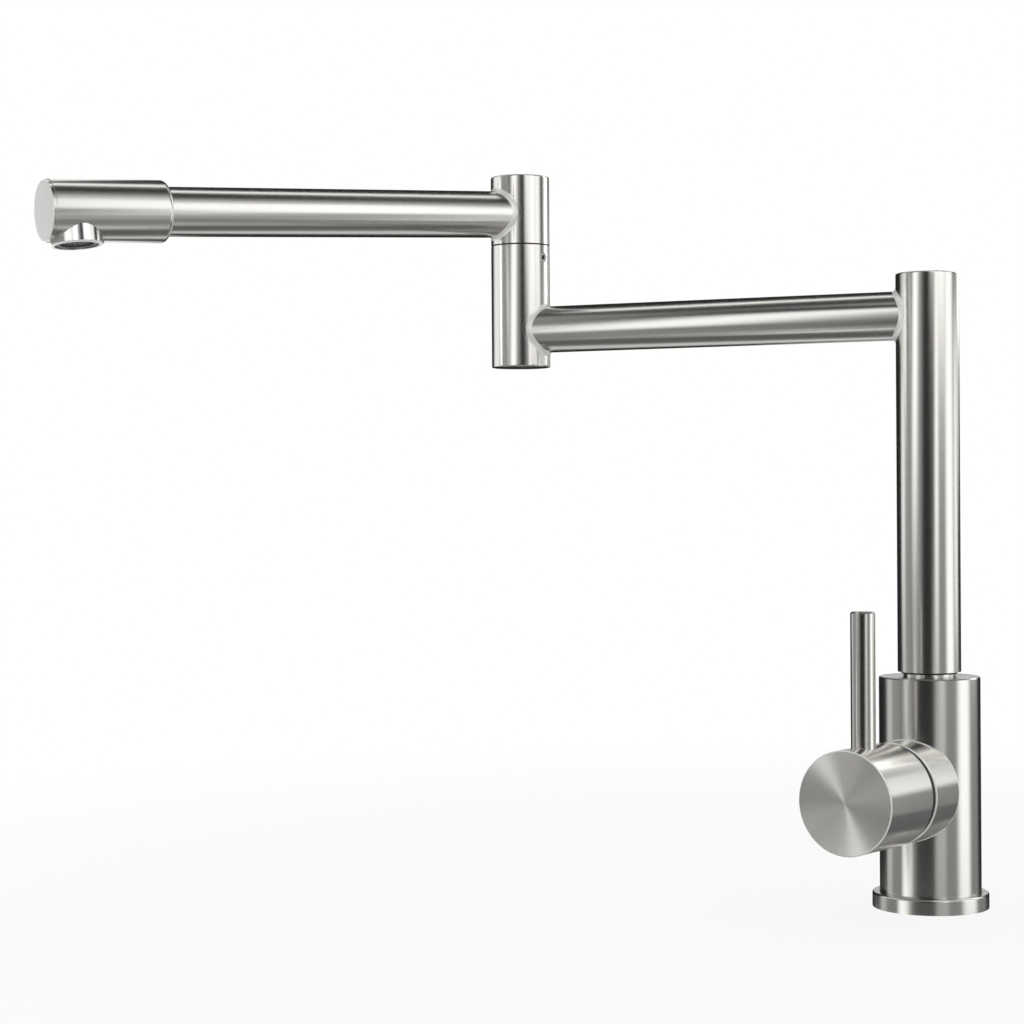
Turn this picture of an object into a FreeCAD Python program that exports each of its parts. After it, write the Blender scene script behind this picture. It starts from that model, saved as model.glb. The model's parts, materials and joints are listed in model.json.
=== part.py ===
import FreeCAD, Part
import math
import os

import Sketcher

# Single-lever kitchen mixer with a double-jointed swivel spout, in stainless steel.
# Millimetres and degrees. The origin is the centre of the underside, +Z is up, the handle points to -Y.

sizes = {
    # Flange and gasket on the deck
    "flange_overhang": 3.8,
    "flange_height": 7.6,
    "flange_floor": 3.0,
    "flange_round": 1.0,
    "flange_entry_gap": 0.25,
    "gasket_margin": 2.2,
    "gasket_width": 5.0,
    "gasket_thickness": 1.5,
    # Threaded socket for the mounting shank, with the two hose inlets inside it
    "shank_radius": 16.5,
    "shank_depth": 14.0,
    "foot_radius": 20.0,
    "inlet_spacing": 13.0,
    "inlet_setback": 1.0,
    "inlet_radius": 4.5,
    "inlet_depth": 12.0,
    "feed_radius": 2.5,
    # Body shell and the valve block inside it
    "body_radius": 25.4,
    "body_wall": 2.0,
    "body_top": 116.5,
    "lid_thickness": 3.0,
    "body_chamfer": 0.5,
    "block_gap": 0.3,
    "foot_disc_top": 20.0,
    "core_radius": 16.0,
    "head_disc_thickness": 15.5,
    "outlet_radius": 5.5,
    # Side stub and cartridge on the handle's axis
    "handle_height": 61.0,
    "stub_radius": 25.3,
    "stub_wall": 2.2,
    "stub_chamfer": 0.7,
    "stub_back": 17.2,
    "stub_plate": 2.2,
    "stub_plate_hole": 17.0,
    "stub_shoulder": 40.7,
    "stub_neck_radius": 24.2,
    "seam_ring_wall": 0.3,
    "boss_radius": 16.5,
    "boss_wall": 5.5,
    "bore_end_wall": 3.0,
    "boss_reach": 38.0,
    "sleeve_back": 12.0,
    "sleeve_rim_radius": 14.0,
    "sleeve_rim_thickness": 2.0,
    "sleeve_bore_end": 44.0,
    "nose_radius": 10.0,
    "nose_length": 12.3,
    "nut_wall": 3.95,
    "nut_grip": 10.0,
    "nut_face": 3.0,
    "nut_bore_radius": 11.2,
    # Spool that mixes and meters the water
    "spool_radius": 7.0,
    "spool_bore_radius": 4.2,
    "spool_back": 11.5,
    "spool_floor": 30.0,
    "spool_front": 36.0,
    "spool_travel": 6.3,
    "spool_seal_place": 10.0,
    "spool_seal_setback": 5.0,
    "window_width": 11.0,
    "slot_width": 7.0,
    "slot_back": 8.0,
    "slot_front": 5.0,
    "stem_radius": 3.5,
    "stem_end": 58.4,
    "stem_pin_radius": 1.5,
    "stem_pin_length": 19.0,
    "stem_pin_place": 56.0,
    # Turning collar, the cap's hinge and the handle
    "collar_hub_radius": 13.0,
    "collar_radius": 19.5,
    "collar_thickness": 3.0,
    "collar_play": 0.2,
    "collar_plate_place": 46.2,
    "clip_thickness": 1.0,
    "clip_depth": 1.0,
    "clip_rise": 2.0,
    "seam_place": 44.6,
    "seam_gap": 1.1,
    "cap_radius": 25.5,
    "cap_wall": 3.2,
    "cap_face": 86.2,
    "cap_face_thickness": 3.0,
    "cap_chamfer": 0.6,
    "hinge_drop": 22.5,
    "hinge_setback": 1.9,
    "hinge_pin_radius": 1.0,
    "hinge_pin_length": 16.0,
    "hinge_lug_width": 6.0,
    "hinge_lug_wall": 0.7,
    "hinge_ear_width": 4.2,
    "hinge_ear_rise": 2.2,
    "yoke_front": 80.0,
    "yoke_back": 60.7,
    "fork_back": 52.5,
    "fork_gap": 10.0,
    "fork_thickness": 4.0,
    "fork_height": 18.0,
    "fork_slot_drop": 2.2,
    "fork_slot_rise": 5.6,
    "lever_place": 67.7,
    "lever_radius": 6.0,
    "lever_top": 91.1,
    "lever_chamfer": 0.8,
    "lever_seat": 14.0,
    "lever_thread_radius": 4.0,
    "lever_thread_length": 8.0,
    "countersink": 1.3,
    # Column that swivels on the body
    "neck_gap": 2.5,
    "neck_radius": 13.0,
    "column_radius": 15.9,
    "column_wall": 1.5,
    "column_above_arm": 21.0,
    "column_spigot_radius": 11.0,
    "column_spigot_bore": 7.0,
    "column_spigot_length": 25.0,
    "column_plug_length": 15.0,
    "column_screw_height": 104.7,
    "washer_thickness": 0.8,
    "end_cap_thickness": 2.5,
    "end_cap_plug": 3.5,
    "end_cap_round": 0.8,
    # Elbow: lower and upper post
    "post_radius": 15.9,
    "post_wall": 1.5,
    "post_below_arm": 20.3,
    "seam_above_arm": 45.4,
    "arm_above_seam": 17.7,
    "post_above_arm": 20.0,
    "elbow_spigot_radius": 10.0,
    "elbow_spigot_bore": 6.5,
    "elbow_spigot_setback": 2.8,
    "elbow_bush_gap": 3.9,
    "elbow_screw_drop": 6.6,
    "elbow_screw_turn": 165.4,
    "elbow_washer_inset": 0.6,
    # The two arms
    "arm_radius": 12.5,
    "arm_wall": 1.2,
    "arm_1_height": 299.5,
    "arm_1_length": 224.0,
    "arm_1_bearing": 194.6,
    "arm_2_bearing": 247.4,
    "arm_2_fall": 2.7,
    "weld_leg": 1.8,
    "weld_chamfer": 1.2,
    # Spout head, nozzle and aerator
    "head_radius": 15.7,
    "head_back": 205.5,
    "head_end": 267.7,
    "head_round": 2.5,
    "head_cap_thickness": 2.0,
    "head_cap_inset": 0.45,
    "head_cap_chamfer": 0.4,
    "head_overlap": 30.5,
    "nozzle_place": 252.2,
    "nozzle_radius": 13.2,
    "nozzle_top": 5.0,
    "nozzle_end": 17.2,
    "nozzle_turn": 5.0,
    "nozzle_chamfer": 0.6,
    "nozzle_ledge": 3.0,
    "nozzle_ledge_radius": 9.0,
    "aerator_radius": 11.0,
    "aerator_wall": 1.65,
    "aerator_lip": 1.0,
    "aerator_inset": 0.6,
    "aerator_seal_thickness": 1.4,
    "insert_thickness": 3.4,
    "screen_thickness": 0.4,
    "grille_thickness": 1.0,
    "coarse_hole_radius": 0.8,
    "coarse_pitch": 2.3,
    "fine_hole_radius": 0.55,
    "fine_pitch": 1.53,
    # Set screws, seals and clearances
    "screw_radius": 2.5,
    "screw_recess": 0.4,
    "screw_key_radius": 1.45,
    "screw_key_depth": 2.5,
    "screw_groove_width": 5.4,
    "screw_groove_depth": 1.6,
    "screw_tip_gap": 0.4,
    "ring_section": 1.8,
    "ring_groove_room": 0.1,
    "running_clearance": 0.05,
    "fit_clearance": 0.05,
    "seat_gap": 0.3,
}

doc = FreeCAD.newDocument("KitchenMixer")
sheet = doc.addObject("Spreadsheet::Sheet", "Sizes")
for row, (alias, number) in enumerate(sizes.items(), 1):
    sheet.set(f"A{row}", alias)
    sheet.set(f"B{row}", str(number))
    sheet.setAlias(f"B{row}", alias)
doc.recompute()


class Measure:
    """A size worked out from the sheet: its number, and the expression that binds a property to it."""

    def __init__(self, number, text):
        self.number = number
        self.text = text

    def __add__(self, other):
        other = measure(other)
        return Measure(self.number + other.number, f"({self.text} + {other.text})")

    def __sub__(self, other):
        other = measure(other)
        return Measure(self.number - other.number, f"({self.text} - {other.text})")

    def __mul__(self, other):
        other = measure(other)
        return Measure(self.number * other.number, f"({self.text} * {other.text})")

    def __truediv__(self, other):
        other = measure(other)
        return Measure(self.number / other.number, f"({self.text} / {other.text})")

    def __neg__(self):
        return Measure(-self.number, f"(0 - {self.text})")

    def __radd__(self, other):
        return measure(other) + self

    def __rsub__(self, other):
        return measure(other) - self

    def __rmul__(self, other):
        return measure(other) * self


def measure(thing):
    return thing if isinstance(thing, Measure) else Measure(float(thing), str(thing))


def cosine(angle):
    return Measure(math.cos(math.radians(angle.number)), f"cos({angle.text})")


def sine(angle):
    return Measure(math.sin(math.radians(angle.number)), f"sin({angle.text})")


class Cells:
    """Gives each cell of the sheet as a Measure, by its alias."""

    def __getattr__(self, alias):
        return Measure(float(sheet.get(alias)), f"Sizes.{alias}")


size = Cells()


class Line:
    """An axis that round pieces are turned about: a point, a direction and the distance along it."""

    def __init__(self, origin, direction):
        self.origin = [measure(part) for part in origin]
        self.direction = [measure(part) for part in direction]
        toward = FreeCAD.Vector(*[part.number for part in self.direction])
        self.rotation = FreeCAD.Rotation(FreeCAD.Vector(0, 0, 1), toward)

    def point(self, distance):
        return [start + step * distance for start, step in zip(self.origin, self.direction)]


def bind(thing, name, value):
    value = measure(value)
    if name.startswith("Placement"):
        thing.setExpression(name, value.text)
        return
    setattr(thing, name, value.number)
    thing.setExpression(name, value.text)


def place(thing, point, rotation=None):
    point = [measure(part) for part in point]
    base = FreeCAD.Vector(*[part.number for part in point])
    thing.Placement = FreeCAD.Placement(base, rotation or FreeCAD.Rotation())
    for letter, part in zip("xyz", point):
        bind(thing, f"Placement.Base.{letter}", part)


def cylinder(name, line, radius, start, end):
    solid = doc.addObject("Part::Cylinder", name)
    bind(solid, "Radius", radius)
    bind(solid, "Height", measure(end) - start)
    place(solid, line.point(start), line.rotation)
    return solid


def cone(name, line, start_radius, end_radius, start, end):
    solid = doc.addObject("Part::Cone", name)
    bind(solid, "Radius1", start_radius)
    bind(solid, "Radius2", end_radius)
    bind(solid, "Height", measure(end) - start)
    place(solid, line.point(start), line.rotation)
    return solid


def box(name, low, high):
    solid = doc.addObject("Part::Box", name)
    for side, start, end in zip(("Length", "Width", "Height"), low, high):
        bind(solid, side, measure(end) - start)
    place(solid, low)
    return solid


def hexagon(name, line, radius, start, end):
    solid = doc.addObject("Part::Prism", name)
    solid.Polygon = 6
    bind(solid, "Circumradius", radius)
    bind(solid, "Height", measure(end) - start)
    place(solid, line.point(start), line.rotation)
    return solid


def cut(name, base, *tools):
    for number, tool in enumerate(tools, 1):
        result = doc.addObject("Part::Cut", f"{name}_cut_{number}")
        result.Base = base
        result.Tool = tool
        base = result
    return base


def fuse(name, *solids):
    result = doc.addObject("Part::MultiFuse", f"{name}_fused")
    result.Shapes = list(solids)
    result.Refine = True
    return result


def common(name, first, second):
    result = doc.addObject("Part::Common", f"{name}_common")
    result.Base = first
    result.Tool = second
    return result


def group(name, solids):
    result = doc.addObject("Part::Compound", name)
    result.Links = solids
    return result


def new_sketch(body, name, role):
    sketch = body.newObject("Sketcher::SketchObject", name)
    plane = next(feature for feature in body.Origin.OriginFeatures if feature.Role == role)
    sketch.AttachmentSupport = (plane, [""])
    sketch.MapMode = "FlatFace"
    return sketch


def turned(name, line, profile):
    """A body of revolution about the line. The profile is a ring of (radius, distance along) corners."""
    body = doc.addObject("PartDesign::Body", name)
    sketch = new_sketch(body, f"{name}_profile", "XZ_Plane")
    corners = [(measure(radius), measure(along)) for radius, along in profile]
    points = [FreeCAD.Vector(radius.number, along.number, 0) for radius, along in corners]
    for index, point in enumerate(points):
        sketch.addGeometry(Part.LineSegment(point, points[(index + 1) % len(points)]), False)
    for index, (radius, along) in enumerate(corners):
        following = (index + 1) % len(points)
        sketch.addConstraint(Sketcher.Constraint("Coincident", index, 2, following, 1))
        for kind, value in (("DistanceX", radius), ("DistanceY", along)):
            constraint = Sketcher.Constraint(kind, -1, 1, index, 1, value.number)
            number = sketch.addConstraint(constraint)
            sketch.setExpression(f"Constraints[{number}]", value.text)
    revolution = body.newObject("PartDesign::Revolution", f"{name}_turned")
    revolution.Profile = sketch
    revolution.ReferenceAxis = (sketch, ["V_Axis"])
    revolution.Angle = 360
    sketch.Visibility = False
    place(body, line.origin, line.rotation)
    doc.recompute()
    return body


def round_edge(body, radius, along, size_of_round):
    """Rounds the circular edge of a turned body that has this radius at this distance along its line."""
    names = []
    for number, edge in enumerate(body.Tip.Shape.Edges, 1):
        curve = edge.Curve
        if not isinstance(curve, Part.Circle):
            continue
        at_edge = abs(curve.Radius - radius.number) < 1e-4 and abs(curve.Center.z - along.number) < 1e-4
        if at_edge:
            names.append(f"Edge{number}")
    tip = body.Tip
    fillet = body.newObject("PartDesign::Fillet", f"{body.Name}_round")
    fillet.Base = (tip, names)
    bind(fillet, "Radius", size_of_round)
    body.Tip = fillet
    doc.recompute()


def groove(radius, floor, middle, width):
    """Four corners of a groove turned into a journal of this radius."""
    low = middle - width / 2
    high = middle + width / 2
    return [(radius, low), (floor, low), (floor, high), (radius, high)]


def seal_rings(name, line, radius, stations):
    """O-rings that lie flush in a journal of this radius."""
    rings = []
    for number, station in enumerate(stations, 1):
        ring = doc.addObject("Part::Torus", f"{name}_{number}")
        bind(ring, "Radius1", radius - size.ring_section / 2)
        bind(ring, "Radius2", size.ring_section / 2)
        place(ring, line.point(station), line.rotation)
        rings.append(ring)
    return group(name, rings)


def set_screw(name, line, tip, end):
    """A headless screw along the line, with a hexagon socket in its outer end."""
    blank = cylinder(f"{name}_blank", line, size.screw_radius, tip, end)
    key = hexagon(f"{name}_key", line, size.screw_key_radius, end - size.screw_key_depth, end)
    return cut(name, blank, key)


def tube(name, line, radius, wall, start, end):
    outside = cylinder(f"{name}_outside", line, radius, start, end)
    inside = cylinder(f"{name}_inside", line, radius - wall, start, end)
    return cut(name, outside, inside)


def end_cap(name, line, radius, wall, face, inward):
    """A disc that closes a tube, with a plug and a rounded rim. Inward is +1 or -1 along the line."""
    seat = face + inward * size.end_cap_thickness
    plug_end = seat + inward * size.end_cap_plug
    plug_radius = radius - wall - size.fit_clearance
    profile = [(0, face), (radius, face), (radius, seat), (plug_radius, seat), (plug_radius, plug_end)]
    body = turned(name, line, profile + [(0, plug_end)])
    round_edge(body, radius, face, size.end_cap_round)
    return body


def weld_ring(name, arm, post, post_radius, start, end):
    """The bevelled weld between an arm's tube and the post that it meets."""
    arm_collar = cylinder(f"{name}_arm", arm, size.arm_radius + size.weld_leg, start, end)
    post_collar = cylinder(f"{name}_post", post, post_radius + size.weld_leg, post_low, post_high)
    arm_core = cylinder(f"{name}_arm_core", arm, size.arm_radius + size.fit_clearance, start, end)
    post_core = cylinder(f"{name}_post_core", post, post_radius + size.fit_clearance, post_low, post_high)
    ring = cut(name, common(name, arm_collar, post_collar), arm_core, post_core)
    doc.recompute()
    outer = []
    for number, edge in enumerate(ring.Shape.Edges, 1):
        middle = edge.valueAt((edge.FirstParameter + edge.LastParameter) / 2)
        off_arm = distance_from(arm, middle) - size.arm_radius.number - size.weld_leg.number
        off_post = distance_from(post, middle) - post_radius.number - size.weld_leg.number
        if abs(off_arm) < 1e-3 and abs(off_post) < 1e-3:
            outer.append(number)
    bevel = doc.addObject("Part::Chamfer", f"{name}_bevel")
    bevel.Base = ring
    leg = size.weld_chamfer.number
    bevel.Edges = [(number, leg, leg) for number in outer]
    return bevel


def distance_from(line, point):
    start = FreeCAD.Vector(*[part.number for part in line.origin])
    toward = FreeCAD.Vector(*[part.number for part in line.direction])
    return (point - start).cross(toward).Length / toward.Length


def perforated(name, line, start, thickness, radius, hole_radius, pitch, rings):
    """A disc with a hole at its centre and rings of holes round it, six more in each ring."""
    body = doc.addObject("PartDesign::Body", name)
    outline = new_sketch(body, f"{name}_outline", "XY_Plane")
    centre = FreeCAD.Vector(0, 0, 0)
    outline.addGeometry(Part.Circle(centre, FreeCAD.Vector(0, 0, 1), radius.number), False)
    outline.addConstraint(Sketcher.Constraint("Coincident", 0, 3, -1, 1))
    number = outline.addConstraint(Sketcher.Constraint("Radius", 0, radius.number))
    outline.setExpression(f"Constraints[{number}]", radius.text)
    pad = body.newObject("PartDesign::Pad", f"{name}_disc")
    pad.Profile = outline
    bind(pad, "Length", thickness)
    for ring in range(rings + 1):
        holes = new_sketch(body, f"{name}_hole_{ring}", "XY_Plane")
        place_of_hole = pitch * ring
        hole_centre = FreeCAD.Vector(place_of_hole.number, 0, 0)
        holes.addGeometry(Part.Circle(hole_centre, FreeCAD.Vector(0, 0, 1), hole_radius.number), False)
        number = holes.addConstraint(Sketcher.Constraint("DistanceX", -1, 1, 0, 3, place_of_hole.number))
        holes.setExpression(f"Constraints[{number}]", place_of_hole.text)
        holes.addConstraint(Sketcher.Constraint("DistanceY", -1, 1, 0, 3, 0.0))
        number = holes.addConstraint(Sketcher.Constraint("Radius", 0, hole_radius.number))
        holes.setExpression(f"Constraints[{number}]", hole_radius.text)
        pocket = body.newObject("PartDesign::Pocket", f"{name}_pocket_{ring}")
        pocket.Profile = holes
        pocket.Type = "ThroughAll"
        pocket.Reversed = True
        if ring:
            pattern = body.newObject("PartDesign::PolarPattern", f"{name}_ring_{ring}")
            pattern.Originals = [pocket]
            pattern.Axis = (holes, ["N_Axis"])
            pattern.Angle = 360
            pattern.Occurrences = 6 * ring
            body.Tip = pattern
        doc.recompute()
    place(body, line.point(start), line.rotation)
    return body


pieces = {}


def keep(node, solid):
    solid.Label = node
    pieces[node] = solid


# The flange and its gasket follow the body
flange_radius = size.body_radius + size.flange_overhang
gasket_outer_radius = flange_radius - size.gasket_margin
gasket_inner_radius = gasket_outer_radius - size.gasket_width

# Heights of the column and the elbow, which all follow the first arm
column_top = size.arm_1_height + size.column_above_arm
post_bottom = size.arm_1_height - size.post_below_arm
post_seam = size.arm_1_height + size.seam_above_arm
arm_2_height = post_seam + size.arm_above_seam
post_top = arm_2_height + size.post_above_arm
post_low = post_bottom - size.post_radius
post_high = post_top + size.post_radius

# Axes
up = (0, 0, 1)
column_line = Line((0, 0, 0), up)
handle_line = Line((0, 0, size.handle_height), (0, -1, 0))
arm_1_line = Line((0, 0, size.arm_1_height), (cosine(size.arm_1_bearing), sine(size.arm_1_bearing), 0))
elbow_x, elbow_y, _ = arm_1_line.point(size.arm_1_length)
elbow_line = Line((elbow_x, elbow_y, 0), up)
level = cosine(size.arm_2_fall)
arm_2_line = Line(
    (elbow_x, elbow_y, arm_2_height),
    (level * cosine(size.arm_2_bearing), level * sine(size.arm_2_bearing), -sine(size.arm_2_fall)))
drop = sine(size.arm_2_fall)
upright = cosine(size.nozzle_turn)
sideways = sine(size.nozzle_turn)
nozzle_line = Line(
    arm_2_line.point(size.nozzle_place),
    (-upright * drop * cosine(size.arm_2_bearing) - sideways * sine(size.arm_2_bearing),
     -upright * drop * sine(size.arm_2_bearing) + sideways * cosine(size.arm_2_bearing),
     -upright * level))

# Sizes that several pieces share
lid_bottom = size.body_top - size.lid_thickness
shell_inside = size.body_radius - size.body_wall
block_radius = shell_inside - size.block_gap
sleeve_radius = size.boss_radius - size.boss_wall - size.fit_clearance
sleeve_rim_front = size.boss_reach + size.sleeve_rim_thickness
nut_front = sleeve_rim_front + size.nut_face
ring_groove_width = size.ring_section + size.ring_groove_room * 2
ring_groove_depth = size.ring_section + size.ring_groove_room
column_socket_radius = size.column_spigot_radius + size.running_clearance
column_bottom = size.body_top + size.neck_gap
neck_bottom = lid_bottom + size.washer_thickness
column_spigot_bottom = neck_bottom - size.column_spigot_length
screw_hole_radius = size.screw_radius + size.fit_clearance
inlet_x = size.inlet_spacing / 2
cap_back = size.seam_place + size.seam_gap / 2
cap_inside = size.cap_radius - size.cap_wall
hinge_place = cap_back + size.hinge_setback
hinge_hole_radius = size.hinge_pin_radius + size.running_clearance
elbow_bush_bottom = size.arm_1_height + size.arm_radius + size.elbow_bush_gap


def make_base():
    """Flange, gasket and shell."""
    flange_top = size.flange_height
    entry_radius = size.body_radius + size.flange_entry_gap
    foot_hole = size.foot_radius + size.seat_gap
    flange = turned("flange", column_line, [
        (foot_hole, 0), (gasket_inner_radius, 0),
        (gasket_inner_radius, size.gasket_thickness), (gasket_outer_radius, size.gasket_thickness),
        (gasket_outer_radius, 0), (flange_radius, 0), (flange_radius, flange_top),
        (entry_radius, flange_top), (entry_radius, size.flange_floor), (foot_hole, size.flange_floor)])
    round_edge(flange, flange_radius, flange_top, size.flange_round)
    keep("base_flange", flange)
    keep("deck_gasket", tube(
        "gasket", column_line, gasket_outer_radius - size.fit_clearance,
        size.gasket_width - size.fit_clearance * 2, 0, size.gasket_thickness))

    lid_hole = size.neck_radius + size.seat_gap
    shell = turned("shell", column_line, [
        (shell_inside, size.flange_floor), (size.body_radius, size.flange_floor),
        (size.body_radius, size.body_top - size.body_chamfer),
        (size.body_radius - size.body_chamfer, size.body_top),
        (lid_hole, size.body_top), (lid_hole, lid_bottom), (shell_inside, lid_bottom)])
    boss_hole = cylinder("boss_hole", handle_line, size.boss_radius + size.seat_gap, 0, size.body_radius * 2)
    keep("body_shell", cut("shell", shell, boss_hole, screw_hole("shell_screw_hole", size.body_radius * 2)))

    stub_front = size.seam_place - size.seam_gap / 2
    stub_inside = size.stub_radius - size.stub_wall
    plate_front = size.stub_back + size.stub_plate
    stub_tube = turned("stub", handle_line, [
        (size.stub_plate_hole, size.stub_back), (size.stub_radius - size.stub_chamfer, size.stub_back),
        (size.stub_radius, size.stub_back + size.stub_chamfer),
        (size.stub_radius, size.stub_shoulder - size.stub_chamfer),
        (size.stub_radius - size.stub_chamfer, size.stub_shoulder),
        (size.stub_neck_radius, size.stub_shoulder), (size.stub_neck_radius, stub_front),
        (stub_inside, stub_front), (stub_inside, plate_front), (size.stub_plate_hole, plate_front)])
    stub_saddle = cylinder(
        "stub_saddle", column_line, size.body_radius + size.fit_clearance, 0, size.body_top)
    keep("valve_stub", cut("valve_stub", stub_tube, stub_saddle))
    ring_wall = size.seam_ring_wall
    keep("seam_ring", tube(
        "seam_ring", handle_line, size.stub_neck_radius + size.fit_clearance + ring_wall, ring_wall,
        size.stub_shoulder + size.fit_clearance, stub_front))


def screw_hole(name, end):
    """The hole for the set screw at the back of the body, from the spigot's socket outwards."""
    return cylinder(name, column_screw_line(), screw_hole_radius, size.column_spigot_radius / 2, end)


def column_screw_line():
    return Line((0, 0, size.column_screw_height), (0, 1, 0))


def make_valve_block():
    """The block that carries the water from the hose inlets through the cartridge to the column."""
    core_top = lid_bottom - size.head_disc_thickness
    core = turned("core", column_line, [
        (0, 0), (size.foot_radius, 0), (size.foot_radius, size.flange_floor),
        (block_radius, size.flange_floor), (block_radius, size.foot_disc_top),
        (size.core_radius, size.foot_disc_top), (size.core_radius, core_top),
        (block_radius, core_top), (block_radius, lid_bottom), (0, lid_bottom)])
    bore_back = -size.sleeve_back - size.seat_gap
    boss = cylinder("boss", handle_line, size.boss_radius, bore_back - size.bore_end_wall, size.boss_reach)
    block = fuse("block", core, boss)
    bore_radius = size.boss_radius - size.boss_wall
    socket_bottom = column_spigot_bottom - size.seat_gap
    tools = [
        cylinder("cartridge_bore", handle_line, bore_radius, bore_back, size.boss_reach),
        cylinder("shank_socket", column_line, size.shank_radius, 0, size.shank_depth),
        cylinder("outlet_bore", column_line, size.outlet_radius, size.handle_height, lid_bottom),
        cylinder("spigot_socket", column_line, column_socket_radius, socket_bottom, lid_bottom),
        screw_hole("block_screw_hole", size.body_radius),
    ]
    for side, name in ((-1, "hot"), (1, "cold")):
        inlet_line = Line((inlet_x * side, size.inlet_setback, 0), up)
        inlet_end = size.shank_depth + size.inlet_depth
        tools.append(cylinder(f"{name}_inlet", inlet_line, size.inlet_radius, size.shank_depth, inlet_end))
        tools.append(feed(f"{name}_feed", side))
    keep("valve_block", cut("block", block, *tools))


def feed(name, side):
    """The passage from a hose inlet up to the cartridge, which also makes the port in its sleeve."""
    line = Line((inlet_x * side, size.inlet_setback, 0), up)
    return cylinder(name, line, size.feed_radius, size.shank_depth, size.handle_height - size.feed_radius / 2)


def make_cartridge():
    """Sleeve, seals, nut and clip, all fixed in the block."""
    nose_end = sleeve_rim_front + size.nose_length
    clip_front = nose_end - size.clip_thickness
    clip_back = clip_front - size.clip_thickness - size.ring_groove_room
    clip_floor = size.nose_radius - size.clip_depth
    spool_bore = size.spool_radius
    stem_bore = size.stem_radius + size.running_clearance
    port_reach = size.outlet_radius + size.ring_section * 2
    stations = [-port_reach, port_reach, size.boss_reach - port_reach]
    journal = []
    for station in stations:
        journal += groove(sleeve_radius, sleeve_radius - ring_groove_depth, station, ring_groove_width)
    sleeve = turned("sleeve", handle_line, [
        (spool_bore, -size.sleeve_back), (sleeve_radius, -size.sleeve_back), *journal,
        (sleeve_radius, size.boss_reach), (size.sleeve_rim_radius, size.boss_reach),
        (size.sleeve_rim_radius, sleeve_rim_front), (size.nose_radius, sleeve_rim_front),
        (size.nose_radius, clip_back), (clip_floor, clip_back), (clip_floor, clip_front),
        (size.nose_radius, clip_front), (size.nose_radius, nose_end), (stem_bore, nose_end),
        (stem_bore, size.sleeve_bore_end), (spool_bore, size.sleeve_bore_end)])
    outlet_port = cylinder(
        "outlet_port", column_line, size.outlet_radius, size.handle_height,
        size.handle_height + size.boss_radius)
    ports = [feed("hot_port", -1), feed("cold_port", 1), outlet_port]
    keep("cartridge_sleeve", cut("sleeve", sleeve, *ports))
    keep("sleeve_seals", seal_rings("sleeve_seals", handle_line, sleeve_radius, stations))

    nut_inside = size.boss_radius + size.fit_clearance
    nut_outside = nut_inside + size.nut_wall
    nut_back = size.boss_reach - size.nut_grip
    keep("cartridge_nut", turned("nut", handle_line, [
        (nut_inside, nut_back), (nut_outside, nut_back), (nut_outside, nut_front),
        (size.nut_bore_radius, nut_front), (size.nut_bore_radius, sleeve_rim_front),
        (nut_inside, sleeve_rim_front)]))
    clip_outside = size.nose_radius + size.clip_rise
    clip_start = clip_back + size.fit_clearance
    clip_ring = tube(
        "clip", handle_line, clip_outside, clip_outside - clip_floor - size.fit_clearance,
        clip_start, clip_start + size.clip_thickness)
    clip_mouth = box(
        "clip_mouth",
        (-clip_floor / 2, -clip_front, size.handle_height),
        (clip_floor / 2, -clip_back, size.handle_height + size.nose_radius * 2))
    keep("collar_clip", cut("collar_clip", clip_ring, clip_mouth))
    return clip_back


def make_spool():
    """The spool that the handle turns for temperature and pulls for flow."""
    outside = size.spool_radius - size.running_clearance
    stations = [size.spool_seal_place, size.spool_front - size.spool_seal_setback]
    journal = []
    for station in stations:
        journal += groove(outside, outside - ring_groove_depth, station, ring_groove_width)
    spool = turned("spool", handle_line, [
        (size.spool_bore_radius, -size.spool_back), (outside, -size.spool_back), *journal,
        (outside, size.spool_front), (size.stem_radius, size.spool_front),
        (size.stem_radius, size.stem_end), (0, size.stem_end),
        (0, size.spool_floor), (size.spool_bore_radius, size.spool_floor)])
    window_place = size.inlet_setback + size.spool_travel
    window = box(
        "inlet_window",
        (-size.window_width / 2, window_place - size.feed_radius, size.handle_height - size.spool_radius * 2),
        (size.window_width / 2, window_place + size.feed_radius, size.handle_height))
    slot = box(
        "outlet_slot",
        (-size.slot_width / 2, -size.slot_front, size.handle_height),
        (size.slot_width / 2, size.slot_back, size.handle_height + size.spool_radius * 2))
    pin_line = Line((0, -size.stem_pin_place, size.handle_height), (1, 0, 0))
    reach = size.stem_pin_length / 2
    pin_hole = cylinder("stem_pin_hole", pin_line, size.stem_pin_radius + size.fit_clearance, -reach, reach)
    keep("valve_spool", cut("spool", spool, window, slot, pin_hole))
    keep("spool_seals", seal_rings("spool_seals", handle_line, outside, stations))
    keep("stem_pin", cylinder("stem_pin", pin_line, size.stem_pin_radius, -reach, reach))


def make_turning_collar(clip_back):
    """The collar that turns with the handle on the sleeve's nose, with the lug of the cap's hinge."""
    bore = size.nose_radius + size.running_clearance
    plate_back = size.collar_plate_place
    plate_front = plate_back + size.collar_thickness
    ring = turned("collar", handle_line, [
        (bore, nut_front + size.collar_play), (size.collar_hub_radius, nut_front + size.collar_play),
        (size.collar_hub_radius, plate_back), (size.collar_radius, plate_back),
        (size.collar_radius, plate_front), (size.collar_hub_radius, plate_front),
        (size.collar_hub_radius, clip_back - size.collar_play), (bore, clip_back - size.collar_play)])
    lug_line = hinge_line()
    half = size.hinge_lug_width / 2
    lug_radius = size.hinge_pin_radius + size.hinge_lug_wall
    lug = cylinder("lug", lug_line, lug_radius, -half, half)
    lug_bottom = size.handle_height - size.hinge_drop
    neck = box(
        "lug_neck",
        (-half, -hinge_place - lug_radius, lug_bottom),
        (half, -plate_back, size.handle_height - (size.collar_radius + size.collar_hub_radius) / 2))
    pin_hole = cylinder("lug_hole", lug_line, hinge_hole_radius, -half, half)
    keep("turning_collar", cut("turning_collar", fuse("turning_collar", ring, neck, lug), pin_hole))


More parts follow.
